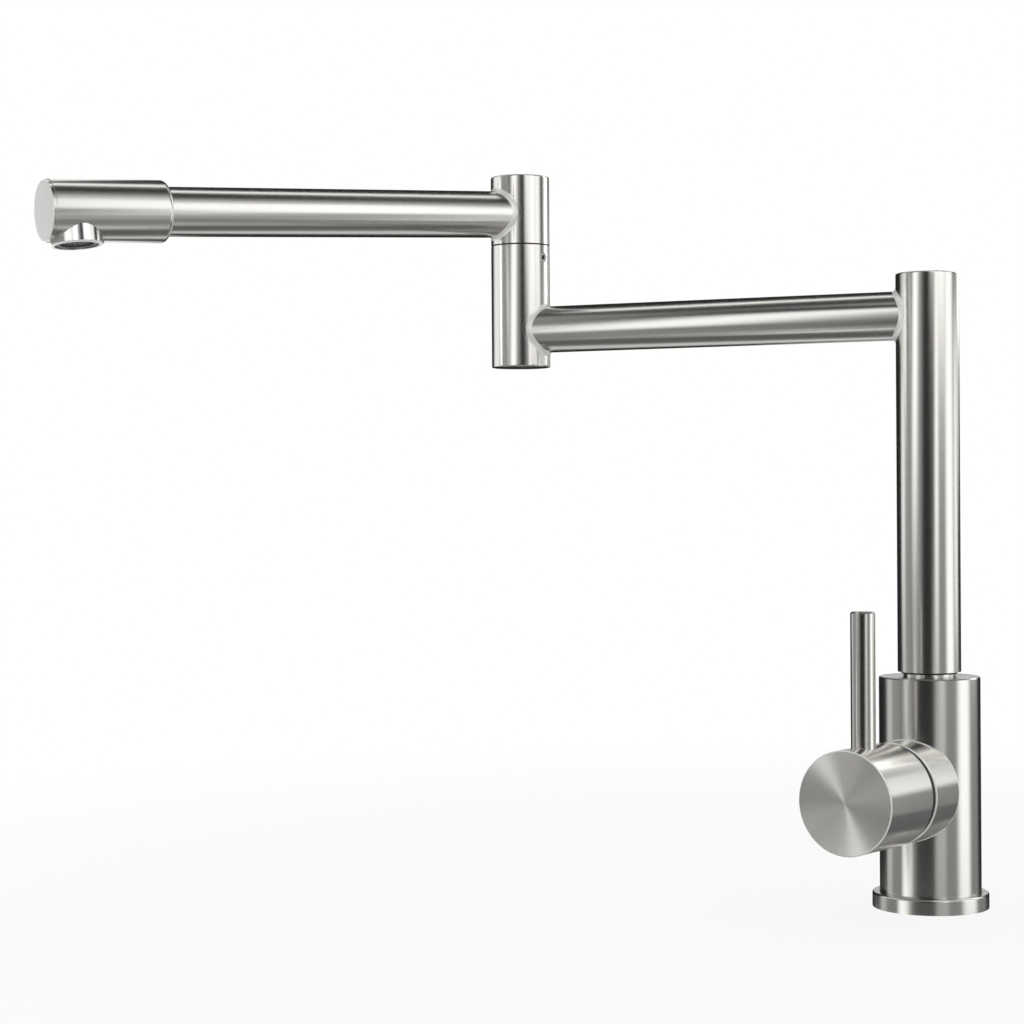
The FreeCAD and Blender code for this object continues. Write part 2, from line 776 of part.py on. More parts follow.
def hinge_line():
    return Line((0, -hinge_place, size.handle_height - size.hinge_drop), (1, 0, 0))


def make_handle():
    """Cap, hinge pin, yoke, lever and the screw that holds the yoke."""
    cap = turned("cap", handle_line, [
        (cap_inside, cap_back), (size.cap_radius, cap_back),
        (size.cap_radius, size.cap_face - size.cap_chamfer),
        (size.cap_radius - size.cap_chamfer, size.cap_face),
        (0, size.cap_face), (0, size.cap_face - size.cap_face_thickness),
        (cap_inside, size.cap_face - size.cap_face_thickness)])
    lug_room = size.hinge_lug_width / 2 + size.seat_gap
    ear_end = lug_room + size.hinge_ear_width
    ear_front = hinge_place + size.hinge_ear_rise
    ear_top = size.handle_height - size.hinge_drop + size.hinge_ear_rise
    ear_bottom = size.handle_height - (size.cap_radius + cap_inside) / 2
    ears = [
        box(f"hinge_ear_{number}", (start, -ear_front, ear_bottom), (end, -cap_back, ear_top))
        for number, (start, end) in enumerate(((-ear_end, -lug_room), (lug_room, ear_end)), 1)
    ]
    lug_radius = size.hinge_pin_radius + size.hinge_lug_wall
    lug_bottom = size.handle_height - size.hinge_drop - lug_radius
    notch = box(
        "hinge_notch",
        (-lug_room, -hinge_place - lug_radius - size.seat_gap * 2, lug_bottom - size.seat_gap),
        (lug_room, -cap_back, ear_top))
    hinge = hinge_line()
    pin_end = size.hinge_pin_length / 2
    hinge_hole = cylinder("hinge_hole", hinge, hinge_hole_radius, -size.cap_radius, pin_end + size.seat_gap)
    lever_line = Line((0, -size.lever_place, size.handle_height), up)
    screw_line = Line((0, -size.lever_place, size.handle_height), (0, 0, -1))
    lever_hole_radius = size.lever_radius + size.fit_clearance
    tools = [
        notch, hinge_hole,
        cylinder("lever_hole", lever_line, lever_hole_radius, 0, size.cap_radius * 2),
        cone("lever_countersink", lever_line, lever_hole_radius, lever_hole_radius + size.countersink * 2,
             size.cap_radius - size.countersink, size.cap_radius + size.countersink),
        cylinder("cap_screw_hole", screw_line, screw_hole_radius, 0, size.cap_radius * 2),
    ]
    keep("handle_cap", cut("cap", fuse("cap", cap, *ears), *tools))
    keep("hinge_pin", cylinder("hinge_pin", hinge, size.hinge_pin_radius, -pin_end, pin_end))

    yoke_radius = cap_inside - size.fit_clearance
    yoke_disc = cylinder("yoke_disc", handle_line, yoke_radius, size.yoke_back, size.yoke_front)
    fork_inside = size.fork_gap / 2
    fork_outside = fork_inside + size.fork_thickness
    fork_low = size.handle_height - size.fork_height / 2
    fork_high = size.handle_height + size.fork_height / 2
    prongs = [
        box(f"fork_{number}", (start, -size.yoke_back, fork_low), (end, -size.fork_back, fork_high))
        for number, (start, end) in enumerate(((-fork_outside, -fork_inside), (fork_inside, fork_outside)), 1)
    ]
    slot_half = size.stem_pin_radius + size.seat_gap
    fork_slot = box(
        "fork_slot",
        (-fork_outside, -size.stem_pin_place - slot_half, size.handle_height - size.fork_slot_drop),
        (fork_outside, -size.stem_pin_place + slot_half, size.handle_height + size.fork_slot_rise))
    thread_end = size.lever_seat - size.lever_thread_length
    yoke_screw_end = yoke_radius - size.lever_thread_length
    tools = [
        fork_slot,
        cylinder("lever_seat_hole", lever_line, lever_hole_radius, size.lever_seat, size.cap_radius),
        cylinder("lever_thread_hole", lever_line, size.lever_thread_radius + size.fit_clearance,
                 thread_end - size.seat_gap, size.lever_seat),
        cylinder("yoke_screw_hole", screw_line, screw_hole_radius, yoke_screw_end - size.seat_gap,
                 size.cap_radius),
    ]
    keep("handle_yoke", cut("yoke", fuse("yoke", yoke_disc, *prongs), *tools))
    keep("lever_rod", turned("lever", lever_line, [
        (0, thread_end), (size.lever_thread_radius, thread_end), (size.lever_thread_radius, size.lever_seat),
        (size.lever_radius, size.lever_seat), (size.lever_radius, size.lever_top - size.lever_chamfer),
        (size.lever_radius - size.lever_chamfer, size.lever_top), (0, size.lever_top)]))
    keep("lever_set_screw", set_screw(
        "lever_screw", screw_line, yoke_screw_end, size.cap_radius - size.screw_recess))


def make_column():
    """Column, its spigot in the body, and the first arm."""
    inside = size.column_radius - size.column_wall
    cap_seat = column_top - size.end_cap_thickness
    column = tube("column", column_line, size.column_radius, size.column_wall, column_bottom, cap_seat)
    arm_port = arm_hole("column_port", arm_1_line, size.column_radius * 2)
    keep("column_tube", cut("column_tube", column, arm_port))
    keep("column_cap", end_cap(
        "column_cap", column_line, size.column_radius, size.column_wall, column_top, -1))

    radius = size.column_spigot_radius
    plug_radius = inside - size.fit_clearance
    bore = size.column_spigot_bore
    ring_step = ring_groove_width * 2
    stations = [column_spigot_bottom + ring_step, column_spigot_bottom + ring_step * 2]
    journal = []
    for station in stations:
        journal += groove(radius, radius - ring_groove_depth, station, ring_groove_width)
    journal += groove(
        radius, radius - size.screw_groove_depth, size.column_screw_height, size.screw_groove_width)
    plug_top = column_bottom + size.column_plug_length
    keep("column_spigot", turned("column_spigot", column_line, [
        (bore, column_spigot_bottom), (radius, column_spigot_bottom), *journal, (radius, neck_bottom),
        (size.neck_radius, neck_bottom), (size.neck_radius, column_bottom), (plug_radius, column_bottom),
        (plug_radius, plug_top), (bore, plug_top)]))
    keep("column_seals", seal_rings("column_seals", column_line, radius, stations))
    keep("swivel_washer", tube(
        "swivel_washer", column_line, size.neck_radius, size.neck_radius - column_socket_radius,
        lid_bottom, neck_bottom))
    tip = radius - size.screw_groove_depth + size.screw_tip_gap
    keep("column_set_screw", set_screw(
        "column_screw", column_screw_line(), tip, size.body_radius - size.screw_recess))

    arm = tube("arm_1", arm_1_line, size.arm_radius, size.arm_wall, 0, size.arm_1_length)
    saddles = [
        cylinder("column_saddle", column_line, size.column_radius + size.fit_clearance, post_low, post_high),
        cylinder("lower_post_saddle", elbow_line, size.post_radius + size.fit_clearance, post_low, post_high),
    ]
    keep("arm_1_tube", cut("arm_1_tube", arm, *saddles))
    middle = size.arm_1_length / 2
    keep("arm_1_welds", group("arm_1_welds", [
        weld_ring("column_weld", arm_1_line, column_line, size.column_radius, 0, middle),
        weld_ring("lower_post_weld", arm_1_line, elbow_line, size.post_radius, middle, size.arm_1_length),
    ]))


def arm_hole(name, arm, end):
    """The hole that an arm's water passes through, from the arm's line outwards."""
    return cylinder(name, arm, size.arm_radius - size.arm_wall, 0, end)


def elbow_screw_line():
    bearing = size.arm_1_bearing + size.elbow_screw_turn
    height = post_seam - size.elbow_screw_drop
    return Line((elbow_x, elbow_y, height), (cosine(bearing), sine(bearing), 0))


def make_lower_post():
    """The post at the end of the first arm, with the bush of the elbow."""
    inside = size.post_radius - size.post_wall
    bush_radius = inside - size.fit_clearance
    cap_seat = post_bottom + size.end_cap_thickness
    post = tube("lower_post", elbow_line, size.post_radius, size.post_wall, cap_seat, post_seam)
    back = Line(arm_1_line.point(size.arm_1_length), [-step for step in arm_1_line.direction])
    screw_line = elbow_screw_line()
    spigot_half = size.elbow_spigot_radius / 2
    post_hole = cylinder("post_screw_hole", screw_line, screw_hole_radius, spigot_half, size.post_radius * 2)
    bush_hole = cylinder("bush_screw_hole", screw_line, screw_hole_radius, spigot_half, size.post_radius)
    arm_port = arm_hole("lower_post_port", back, size.post_radius * 2)
    keep("lower_post", cut("lower_post", post, arm_port, post_hole))
    keep("lower_post_cap", end_cap(
        "lower_post_cap", elbow_line, size.post_radius, size.post_wall, post_bottom, 1))
    bush = tube(
        "bush", elbow_line, bush_radius, bush_radius - size.elbow_spigot_radius - size.running_clearance,
        elbow_bush_bottom, post_seam)
    keep("elbow_bush", cut("elbow_bush", bush, bush_hole))
    tip = size.elbow_spigot_radius - size.screw_groove_depth + size.screw_tip_gap
    keep("elbow_set_screw", set_screw("elbow_screw", screw_line, tip, size.post_radius - size.screw_recess))


def make_upper_post():
    """The post that turns on the elbow, with its spigot, seals and washer, and the second arm."""
    post_start = post_seam + size.washer_thickness
    cap_seat = post_top - size.end_cap_thickness
    inside = size.post_radius - size.post_wall
    post = tube("upper_post", elbow_line, size.post_radius, size.post_wall, post_start, cap_seat)
    keep("upper_post", cut("upper_post", post, arm_hole("upper_post_port", arm_2_line, size.post_radius * 2)))
    keep("upper_post_cap", end_cap(
        "upper_post_cap", elbow_line, size.post_radius, size.post_wall, post_top, -1))

    radius = size.elbow_spigot_radius
    bore = size.elbow_spigot_bore
    plug_radius = inside - size.fit_clearance
    plug_end = arm_2_height - size.arm_radius
    bottom = elbow_bush_bottom + size.elbow_spigot_setback
    ring_step = ring_groove_width * 2
    stations = [bottom + ring_step, bottom + ring_step * 2]
    journal = []
    for station in stations:
        journal += groove(radius, radius - ring_groove_depth, station, ring_groove_width)
    screw_height = post_seam - size.elbow_screw_drop
    journal += groove(radius, radius - size.screw_groove_depth, screw_height, size.screw_groove_width)
    keep("elbow_spigot", turned("elbow_spigot", elbow_line, [
        (bore, bottom), (radius, bottom), *journal, (radius, post_start),
        (plug_radius, post_start), (plug_radius, plug_end), (bore, plug_end)]))
    keep("elbow_seals", seal_rings("elbow_seals", elbow_line, radius, stations))
    washer_radius = size.post_radius - size.elbow_washer_inset
    keep("elbow_washer", tube(
        "elbow_washer", elbow_line, washer_radius, washer_radius - radius - size.fit_clearance,
        post_seam, post_start))

    arm_end = size.head_back + size.head_overlap
    arm = tube("arm_2", arm_2_line, size.arm_radius, size.arm_wall, 0, arm_end)
    saddle_radius = size.post_radius + size.fit_clearance
    saddle = cylinder("upper_post_saddle", elbow_line, saddle_radius, post_low, post_high)
    keep("arm_2_tube", cut("arm_2_tube", arm, saddle))
    keep("arm_2_weld", weld_ring(
        "upper_post_weld", arm_2_line, elbow_line, size.post_radius, 0, size.head_back))


def make_spout_head():
    """The sleeve at the arm's end, with its end disc and the nozzle."""
    inside = size.arm_radius + size.fit_clearance
    disc_back = size.head_end - size.head_cap_thickness
    disc_radius = size.head_radius - size.head_cap_inset
    sleeve = turned("head", arm_2_line, [
        (inside, size.head_back), (size.head_radius, size.head_back),
        (size.head_radius, disc_back), (inside, disc_back)])
    round_edge(sleeve, size.head_radius, size.head_back, size.head_round)
    nozzle_hole = cylinder(
        "nozzle_hole", nozzle_line, size.nozzle_radius + size.fit_clearance, 0, size.nozzle_end)
    keep("spout_head", cut("head", sleeve, nozzle_hole))
    keep("head_end_disc", turned("head_end", arm_2_line, [
        (0, disc_back), (disc_radius, disc_back),
        (disc_radius, size.head_end - size.head_cap_chamfer),
        (disc_radius - size.head_cap_chamfer, size.head_end), (0, size.head_end)]))
    ledge_end = size.nozzle_top + size.nozzle_ledge
    keep("nozzle", turned("nozzle", nozzle_line, [
        (size.nozzle_ledge_radius, size.nozzle_top), (size.nozzle_radius, size.nozzle_top),
        (size.nozzle_radius, size.nozzle_end - size.nozzle_chamfer),
        (size.nozzle_radius - size.nozzle_chamfer, size.nozzle_end),
        (size.aerator_radius, size.nozzle_end), (size.aerator_radius, ledge_end),
        (size.nozzle_ledge_radius, ledge_end)]))


def make_aerator():
    """Seal, housing, flow insert, screen and grille inside the nozzle."""
    seal_start = size.nozzle_top + size.nozzle_ledge
    housing_start = seal_start + size.aerator_seal_thickness
    housing_end = size.nozzle_end - size.aerator_inset
    outside = size.aerator_radius - size.fit_clearance
    inside = outside - size.aerator_wall
    lip_start = housing_end - size.aerator_lip
    lip_radius = inside - size.aerator_lip
    keep("aerator_seal", tube(
        "aerator_seal", nozzle_line, outside, outside - size.nozzle_ledge_radius, seal_start, housing_start))
    keep("aerator_housing", turned("housing", nozzle_line, [
        (inside, housing_start), (outside, housing_start), (outside, housing_end),
        (lip_radius, housing_end), (lip_radius, lip_start), (inside, lip_start)]))
    disc_radius = inside - size.fit_clearance
    grille_start = lip_start - size.grille_thickness
    screen_start = grille_start - size.screen_thickness
    insert_start = screen_start - size.insert_thickness
    coarse = (size.coarse_hole_radius, size.coarse_pitch, 3)
    fine = (size.fine_hole_radius, size.fine_pitch, 5)
    keep("aerator_insert", perforated(
        "insert", nozzle_line, insert_start, size.insert_thickness, disc_radius, *coarse))
    keep("aerator_screen", perforated(
        "screen", nozzle_line, screen_start, size.screen_thickness, disc_radius, *fine))
    keep("aerator_grille", perforated(
        "grille", nozzle_line, grille_start, size.grille_thickness, disc_radius, *coarse))


make_base()
make_valve_block()
clip_place = make_cartridge()
make_spool()
make_turning_collar(clip_place)
make_handle()
make_column()
make_lower_post()
make_upper_post()
make_spout_head()
make_aerator()
doc.recompute()

for thing in doc.Objects:
    if "Invalid" in thing.State or "Error" in thing.State:
        raise RuntimeError(f"{thing.Name} did not compute: {thing.State}")
for node, solid in pieces.items():
    shape = solid.Shape
    if shape.isNull() or not shape.isValid() or not shape.Solids:
        raise RuntimeError(f"{node} has no valid solid")

os.makedirs("parts", exist_ok=True)
for node, solid in pieces.items():
    solid.Shape.exportStep(f"parts/{node}.step")
    print(f"{node}: {len(solid.Shape.Solids)} solid(s), {solid.Shape.Volume:.0f} mm3")
print(f"{len(pieces)} pieces")
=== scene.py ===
import json
import math

import bmesh
import bpy
import numpy as np
from mathutils import Matrix, Vector


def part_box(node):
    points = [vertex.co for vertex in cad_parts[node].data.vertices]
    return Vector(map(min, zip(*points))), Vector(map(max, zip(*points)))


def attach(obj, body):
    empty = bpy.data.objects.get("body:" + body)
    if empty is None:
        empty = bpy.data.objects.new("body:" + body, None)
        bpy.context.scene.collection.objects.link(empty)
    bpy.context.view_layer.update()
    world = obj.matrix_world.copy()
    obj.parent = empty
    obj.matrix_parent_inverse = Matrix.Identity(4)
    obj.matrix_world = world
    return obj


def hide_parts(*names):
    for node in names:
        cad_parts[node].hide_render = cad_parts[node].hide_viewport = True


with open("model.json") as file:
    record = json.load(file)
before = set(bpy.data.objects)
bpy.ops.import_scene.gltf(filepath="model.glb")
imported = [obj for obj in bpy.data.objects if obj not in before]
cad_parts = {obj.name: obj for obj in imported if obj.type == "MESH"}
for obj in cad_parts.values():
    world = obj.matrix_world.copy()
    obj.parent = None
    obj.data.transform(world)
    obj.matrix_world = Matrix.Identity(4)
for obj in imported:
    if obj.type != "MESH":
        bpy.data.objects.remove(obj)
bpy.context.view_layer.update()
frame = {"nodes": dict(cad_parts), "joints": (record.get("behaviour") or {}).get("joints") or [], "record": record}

mm = 0.001
joints = {joint["name"]: joint for joint in frame["joints"]}
mounts = {mount["name"]: mount for mount in frame["record"]["mounts"]}
bodyOf = {node: body for body, nodes in frame["record"]["behaviour"]["bodies"].items() for node in nodes}
slotOf = {part["node"]: part["material_slot"] for part in frame["record"]["subparts"]}


# Axes that the tubes and turned pieces run along

class Line:
    def __init__(self, origin, axis):
        self.origin = Vector(origin)
        self.axis = Vector(axis).normalized()
        upright = abs(self.axis.z) > 0.9
        self.side = self.axis.cross(Vector((0, 1, 0) if upright else (0, 0, 1))).normalized()
        self.rise = self.side.cross(self.axis).normalized()

    def matrix(self):        # local X, Y and Z to the side, against the rise and along the axis
        turn = Matrix((self.side, -self.rise, self.axis)).transposed()
        return Matrix.Translation(self.origin) @ turn.to_4x4()


def span(node, line):        # start, end and outer radius of a CAD node about a line
    points = np.array([vertex.co for vertex in frame["nodes"][node].data.vertices]) - np.array(line.origin)
    along = points @ np.array(line.axis)
    radius = np.linalg.norm(points - along[:, None] * np.array(line.axis), axis=1)
    return along.min(), along.max(), radius.max()


def middle(node):
    low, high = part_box(node)
    return (low + high) / 2


elbow = Vector(joints["elbow_swivel"]["pos_m"])
outlet = Vector(mounts["spout_outlet"]["pos_m"])
outletAxis = Vector(mounts["spout_outlet"]["axis"])

# The spout's line, from the flat end of its head
outward = middle("head_end_disc") - elbow
outward = Vector((outward.x, outward.y, 0)).normalized()
endFace = [face for face in frame["nodes"]["head_end_disc"].data.polygons if face.normal.dot(outward) > 0.99]
spoutAxis = sum((face.normal * face.area for face in endFace), Vector()).normalized()
spoutEnd = sum((face.center * face.area for face in endFace), Vector()) / sum(face.area for face in endFace)
spoutOrigin = spoutEnd - spoutAxis * ((spoutEnd.xy - elbow.xy).length / spoutAxis.xy.length)

columnLine = Line((0, 0, 0), (0, 0, 1))
elbowLine = Line((elbow.x, elbow.y, 0), (0, 0, 1))
handleLine = Line((0, 0, middle("valve_stub").z), (0, -1, 0))
arm1Line = Line((0, 0, middle("arm_1_tube").z), (elbow.x, elbow.y, 0))
nozzleLine = Line(outlet, outletAxis)
leverLine = Line((0, middle("lever_rod").y, handleLine.origin.z), (0, 0, 1))
arm2Line = Line(spoutOrigin, spoutAxis)
print("scene: axes found")


# Materials

class Nodes:
    def __init__(self, tree):
        self.tree = tree

    def add(self, kind, **settings):
        node = self.tree.nodes.new(kind)
        for name, value in settings.items():
            setattr(node, name, value)
        return node

    def link(self, value, socket):        # a socket is linked, and any other value is set
        if isinstance(value, bpy.types.NodeSocket):
            self.tree.links.new(value, socket)
        elif value is not None:
            socket.default_value = value

    def call(self, kind, values, output=0, **settings):
        node = self.add(kind, **settings)
        for socket, value in values.items():
            self.link(value, node.inputs[socket])
        return node.outputs[output]

    def math(self, operation, *values):
        return self.call("ShaderNodeMath", dict(enumerate(values)), operation=operation)

    def vector(self, operation, first, second=None, scale=None):
        output = "Value" if operation in ("DOT_PRODUCT", "LENGTH") else "Vector"
        return self.call("ShaderNodeVectorMath", {0: first, 1: second, 3: scale}, output, operation=operation)

    def combine(self, x, y, z):
        return self.call("ShaderNodeCombineXYZ", {0: x, 1: y, 2: z})

    def split(self, vector):
        node = self.add("ShaderNodeSeparateXYZ")
        self.link(vector, node.inputs[0])
        return tuple(node.outputs)

    def smooth(self, value, low, high, outLow=0.0, outHigh=1.0):
        values = dict(enumerate((value, low, high, outLow, outHigh)))
        return self.call("ShaderNodeMapRange", values, interpolation_type="SMOOTHSTEP")

    def noise(self, vector, kind):
        scale, detail, roughness = noises[kind]
        return self.call("ShaderNodeTexNoise", {
            "Vector": vector, "Scale": scale, "Detail": detail, "Roughness": roughness}, "Fac")

    def mixColor(self, factor, first, second):
        return self.call("ShaderNodeMix", {"Factor": factor, "A": first, "B": second}, "Result", data_type="RGBA")

    def bump(self, height, strength, distance):
        return self.call("ShaderNodeBump", {"Height": height, "Strength": strength, "Distance": distance})

    def blend(self, factor, first, second):        # of two shaders
        return self.call("ShaderNodeMixShader", {0: factor, 1: first, 2: second})

    def place(self):
        return self.add("ShaderNodeTexCoord").outputs["Object"]

    def show(self, surface):
        self.link(surface, self.add("ShaderNodeOutputMaterial").inputs["Surface"])


# scale, detail and roughness of the noises; where dark ends and light begins; depth of the relief
noises = {"lines": (5.0, 4.0, 0.7), "grain": (5.0, 4.0, 0.6), "cloud": (5.0, 2.0, 0.5)}
contrast = {"lines": (0.25, 0.75), "grain": (0.3, 0.7)}
relief = {"lines": 0.01 * mm, "grain": 0.05 * mm}


def nodeMaterial(name):
    material = bpy.data.materials.new(name)
    material.use_nodes = True
    material.node_tree.nodes.clear()
    return material, Nodes(material.node_tree)


def finishedMaterial(name, look, kind, build):
    # build gives what the relief, the tone and the roughness follow, and the shader's other inputs
    material, nodes = nodeMaterial(name)
    height, tone, rough, others = build(nodes)
    tone = nodes.smooth(tone, *contrast[kind])
    nodes.show(nodes.call("ShaderNodeBsdfPrincipled", {
        "Base Color": nodes.mixColor(tone, look["dark"], look["light"]), "Roughness": rough,
        "Metallic": look["metallic"], "Normal": nodes.bump(height, look["bump"], relief[kind]), **others}))
    return material


def turnedMetal(name, line, look):
    # metal with hairlines that run round the line, as a lathe or a turning belt leaves them
    def build(nodes):
        offset = nodes.vector("SUBTRACT", nodes.place(), tuple(line.origin))
        along = nodes.vector("DOT_PRODUCT", offset, tuple(line.axis))
        radial = nodes.vector("SUBTRACT", offset, nodes.vector("SCALE", tuple(line.axis), scale=along))
        distance = nodes.vector("LENGTH", radial)
        stretched = nodes.combine(
            nodes.math("MULTIPLY", distance, look["linesPerMetre"]),
            nodes.math("MULTIPLY", along, look["linesPerMetre"]), 0.0)
        drift = nodes.vector("SCALE", offset, scale=look["driftPerMetre"])
        fine = nodes.noise(nodes.vector("ADD", stretched, drift), "lines")
        broad = nodes.noise(offset, "cloud")
        rough = nodes.math("ADD", nodes.math("MULTIPLY", fine, look["roughnessLines"]),
                           nodes.math("MULTIPLY", broad, look["roughnessCloud"]))
        rough = nodes.math("ADD", rough, look["roughness"])

        # The wide direction of the gloss lies across the hairlines
        around = nodes.vector("CROSS_PRODUCT", tuple(line.axis), radial)
        around = nodes.call("ShaderNodeVectorTransform", {0: around}, vector_type="VECTOR",
                            convert_from="OBJECT", convert_to="WORLD")
        normal = nodes.add("ShaderNodeNewGeometry").outputs["Normal"]
        across = nodes.vector("NORMALIZE", nodes.vector("CROSS_PRODUCT", normal, around))
        return fine, fine, rough, {"Anisotropic": look["anisotropy"], "Tangent": across}

    return finishedMaterial(name, look, "lines", build)


def plainMaterial(name, look):
    # cast or moulded stuff with a grain
    def build(nodes):
        place = nodes.place()
        grain, cloud = nodes.noise(place, "grain"), nodes.noise(place, "cloud")
        tone = nodes.math("MULTIPLY_ADD", grain, 0.5, nodes.math("MULTIPLY", cloud, 0.5))
        rough = nodes.math("MULTIPLY_ADD", grain, look["roughnessGrain"], look["roughness"])
        return grain, tone, rough, {}

    return finishedMaterial(name, look, "grain", build)


brushed = {
    "dark": (0.70, 0.69, 0.655, 1), "light": (0.79, 0.78, 0.745, 1), "linesPerMetre": 5200.0, "driftPerMetre": 40.0,
    "roughness": 0.17, "roughnessLines": 0.10, "roughnessCloud": 0.03, "anisotropy": 0.6, "metallic": 1.0,
    "bump": 0.25,
}
sideBrushed = {**brushed, "roughness": 0.15}
faceBrushed = {**brushed, "roughness": 0.15, "roughnessLines": 0.12, "anisotropy": 0.94}
# a pale, partly non-metal copy of the steel: painted sheen that makes the disc's flat end as bright as its
# reflection
paintedSheenSteel = {**brushed, "dark": (0.86, 0.85, 0.83, 1), "light": (0.93, 0.92, 0.90, 1), "roughness": 0.40,
         "anisotropy": 0.2, "metallic": 0.40}
polished = {**brushed, "dark": (0.76, 0.75, 0.72, 1), "light": (0.80, 0.79, 0.76, 1), "roughness": 0.14,
            "roughnessLines": 0.06, "anisotropy": 0.5, "bump": 0.08}
# a paler, partly non-metal copy of the steel: painted highlight on the welds, bevels, chamfers, nozzle ends and the
# saddle bead
paintedHighlightSteel = {**polished, "dark": (0.84, 0.83, 0.81, 1), "light": (0.92, 0.91, 0.89, 1), "roughness": 0.30,
          "anisotropy": 0.0, "bump": 0.1, "metallic": 0.35}
machined = {**brushed, "dark": (0.60, 0.42, 0.20, 1), "light": (0.80, 0.62, 0.36, 1), "linesPerMetre": 2600.0,
            "roughness": 0.20, "roughnessLines": 0.15, "roughnessCloud": 0.10, "anisotropy": 0.4, "bump": 0.5}
rubber = {
    "dark": (0.012, 0.012, 0.012, 1), "light": (0.030, 0.030, 0.031, 1), "roughness": 0.55,
    "roughnessGrain": 0.25, "metallic": 0.0, "bump": 0.3,
}
bearing = {**rubber, "dark": (0.008, 0.008, 0.008, 1), "light": (0.020, 0.020, 0.021, 1), "roughness": 0.50,
           "roughnessGrain": 0.2, "bump": 0.2}
moulded = {**bearing, "dark": (0.42, 0.42, 0.41, 1), "light": (0.52, 0.52, 0.50, 1), "roughness": 0.32}
shaded = {**moulded, "dark": (0.060, 0.060, 0.064, 1), "light": (0.095, 0.095, 0.100, 1)}
screwSteel = {**rubber, "dark": (0.30, 0.30, 0.29, 1), "light": (0.46, 0.46, 0.44, 1), "roughness": 0.28,
              "roughnessGrain": 0.2, "metallic": 1.0}

metals = {
    "body": turnedMetal("brushed_body", columnLine, brushed),
    "elbow": turnedMetal("brushed_elbow", elbowLine, brushed),
    "arm1": turnedMetal("brushed_arm_1", arm1Line, brushed),
    "arm2": turnedMetal("brushed_arm_2", arm2Line, brushed),
    "handle": turnedMetal("brushed_handle", handleLine, sideBrushed),
    "capFace": turnedMetal("turned_cap_face", handleLine, faceBrushed),
    "lever": turnedMetal("brushed_lever", leverLine, brushed),
    "neck": turnedMetal("polished_neck", columnLine, polished),
    "nozzle": turnedMetal("polished_nozzle", nozzleLine, polished),
    # these four are lit copies of the steel: painted highlight on the welds, bevels and chamfers, and painted sheen
    # on the disc's end
    "paintedHighlight1": turnedMetal("weld_1_painted_highlight", arm1Line, paintedHighlightSteel),
    "paintedHighlight2": turnedMetal("weld_2_painted_highlight", arm2Line, paintedHighlightSteel),
    "paintedHighlightStub": turnedMetal("saddle_painted_highlight", handleLine, paintedHighlightSteel),
    "disc": turnedMetal("disc_painted_sheen", arm2Line, paintedSheenSteel),
    "spool": turnedMetal("polished_spool", handleLine, polished),
    "brassBody": turnedMetal("brass_body", columnLine, machined),
    "brassHandle": turnedMetal("brass_handle", handleLine, machined),
}
plainLooks = {
    "seal_rubber": rubber, "bearing_plastic": bearing, "aerator_plastic": moulded, "aerator_shade": shaded,
    "screw_steel": screwSteel, "screen_steel": screwSteel,
}
plains = {name: plainMaterial(name, look) for name, look in plainLooks.items()}
print("scene: materials made")


# CAD copies with the exact normals of their turned surfaces

clean = {"weld": 0.001 * mm, "doubles": 0.0005 * mm, "slivers": 0.0002 * mm, "sharp": math.radians(32)}


def addObject(name, data):
    item = bpy.data.objects.new(name, data)
    bpy.context.scene.collection.objects.link(item)
    return item


def meshObject(name, points, faces):
    mesh = bpy.data.meshes.new(name)
    mesh.from_pydata(points, [], faces)
    return addObject(name, mesh)


def settle(piece):        # modifiers into a plain mesh
    depsgraph = bpy.context.evaluated_depsgraph_get()
    mesh = bpy.data.meshes.new_from_object(piece.evaluated_get(depsgraph))
    piece.modifiers.clear()
    piece.data = mesh
    return mesh


def closeMesh(mesh):        # doubles merged, faces outwards
    work = bmesh.new()
    work.from_mesh(mesh)
    bmesh.ops.remove_doubles(work, verts=work.verts, dist=clean["doubles"])
    bmesh.ops.dissolve_degenerate(work, edges=work.edges, dist=clean["slivers"])
    bmesh.ops.recalc_face_normals(work, faces=work.faces)
    work.to_mesh(mesh)
    work.free()


def shadeSmooth(mesh):
    mesh.polygons.foreach_set("use_smooth", [True] * len(mesh.polygons))
    mesh.set_sharp_from_angle(angle=clean["sharp"])


def assign(piece, body, slot, *nodes):
    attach(piece, body)
    if nodes:
        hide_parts(*nodes)


def refined(node, lines, material, others):
    mesh = frame["nodes"][node].data.copy()
    piece = addObject("fine_" + node, mesh)
    mesh.materials.clear()
    mesh.materials.append(material)
    piece.modifiers.new("weld", "WELD").merge_threshold = clean["weld"]
    mesh = settle(piece)
    for number, (low, high, other) in enumerate(others, 1):
        mesh.materials.append(other)
        for face in mesh.polygons:
            if low < abs(face.normal.dot(lines[0].axis)) < high:
                face.material_index = number
    trueNormals(mesh, lines)
    assign(piece, bodyOf[node], slotOf[node], node)


def listed(items, name, width=1, kind=float):
    values = np.zeros(len(items) * width, kind)
    items.foreach_get(name, values)
    return values.reshape(-1, width) if width > 1 else values


def about(line, places):        # a line's axis, and the direction and distance of places from it
    axis = np.array(line.axis)
    offset = places - np.array(line.origin)
    radial = offset - (offset @ axis)[:, None] * axis
    length = np.linalg.norm(radial, axis=1)
    return axis, radial / np.maximum(length, 1e-9)[:, None], length


# how far a face may stray from a line's surface, what two lines must differ by, the widest angle that is
# averaged, the angle left as it is, how square a flat end is, and how near the axis a point lies on it
turned = {"stray": 0.12, "differ": 1e-6, "wide": math.radians(30), "even": 1e-3, "flat": 0.9999, "onAxis": 1e-7}


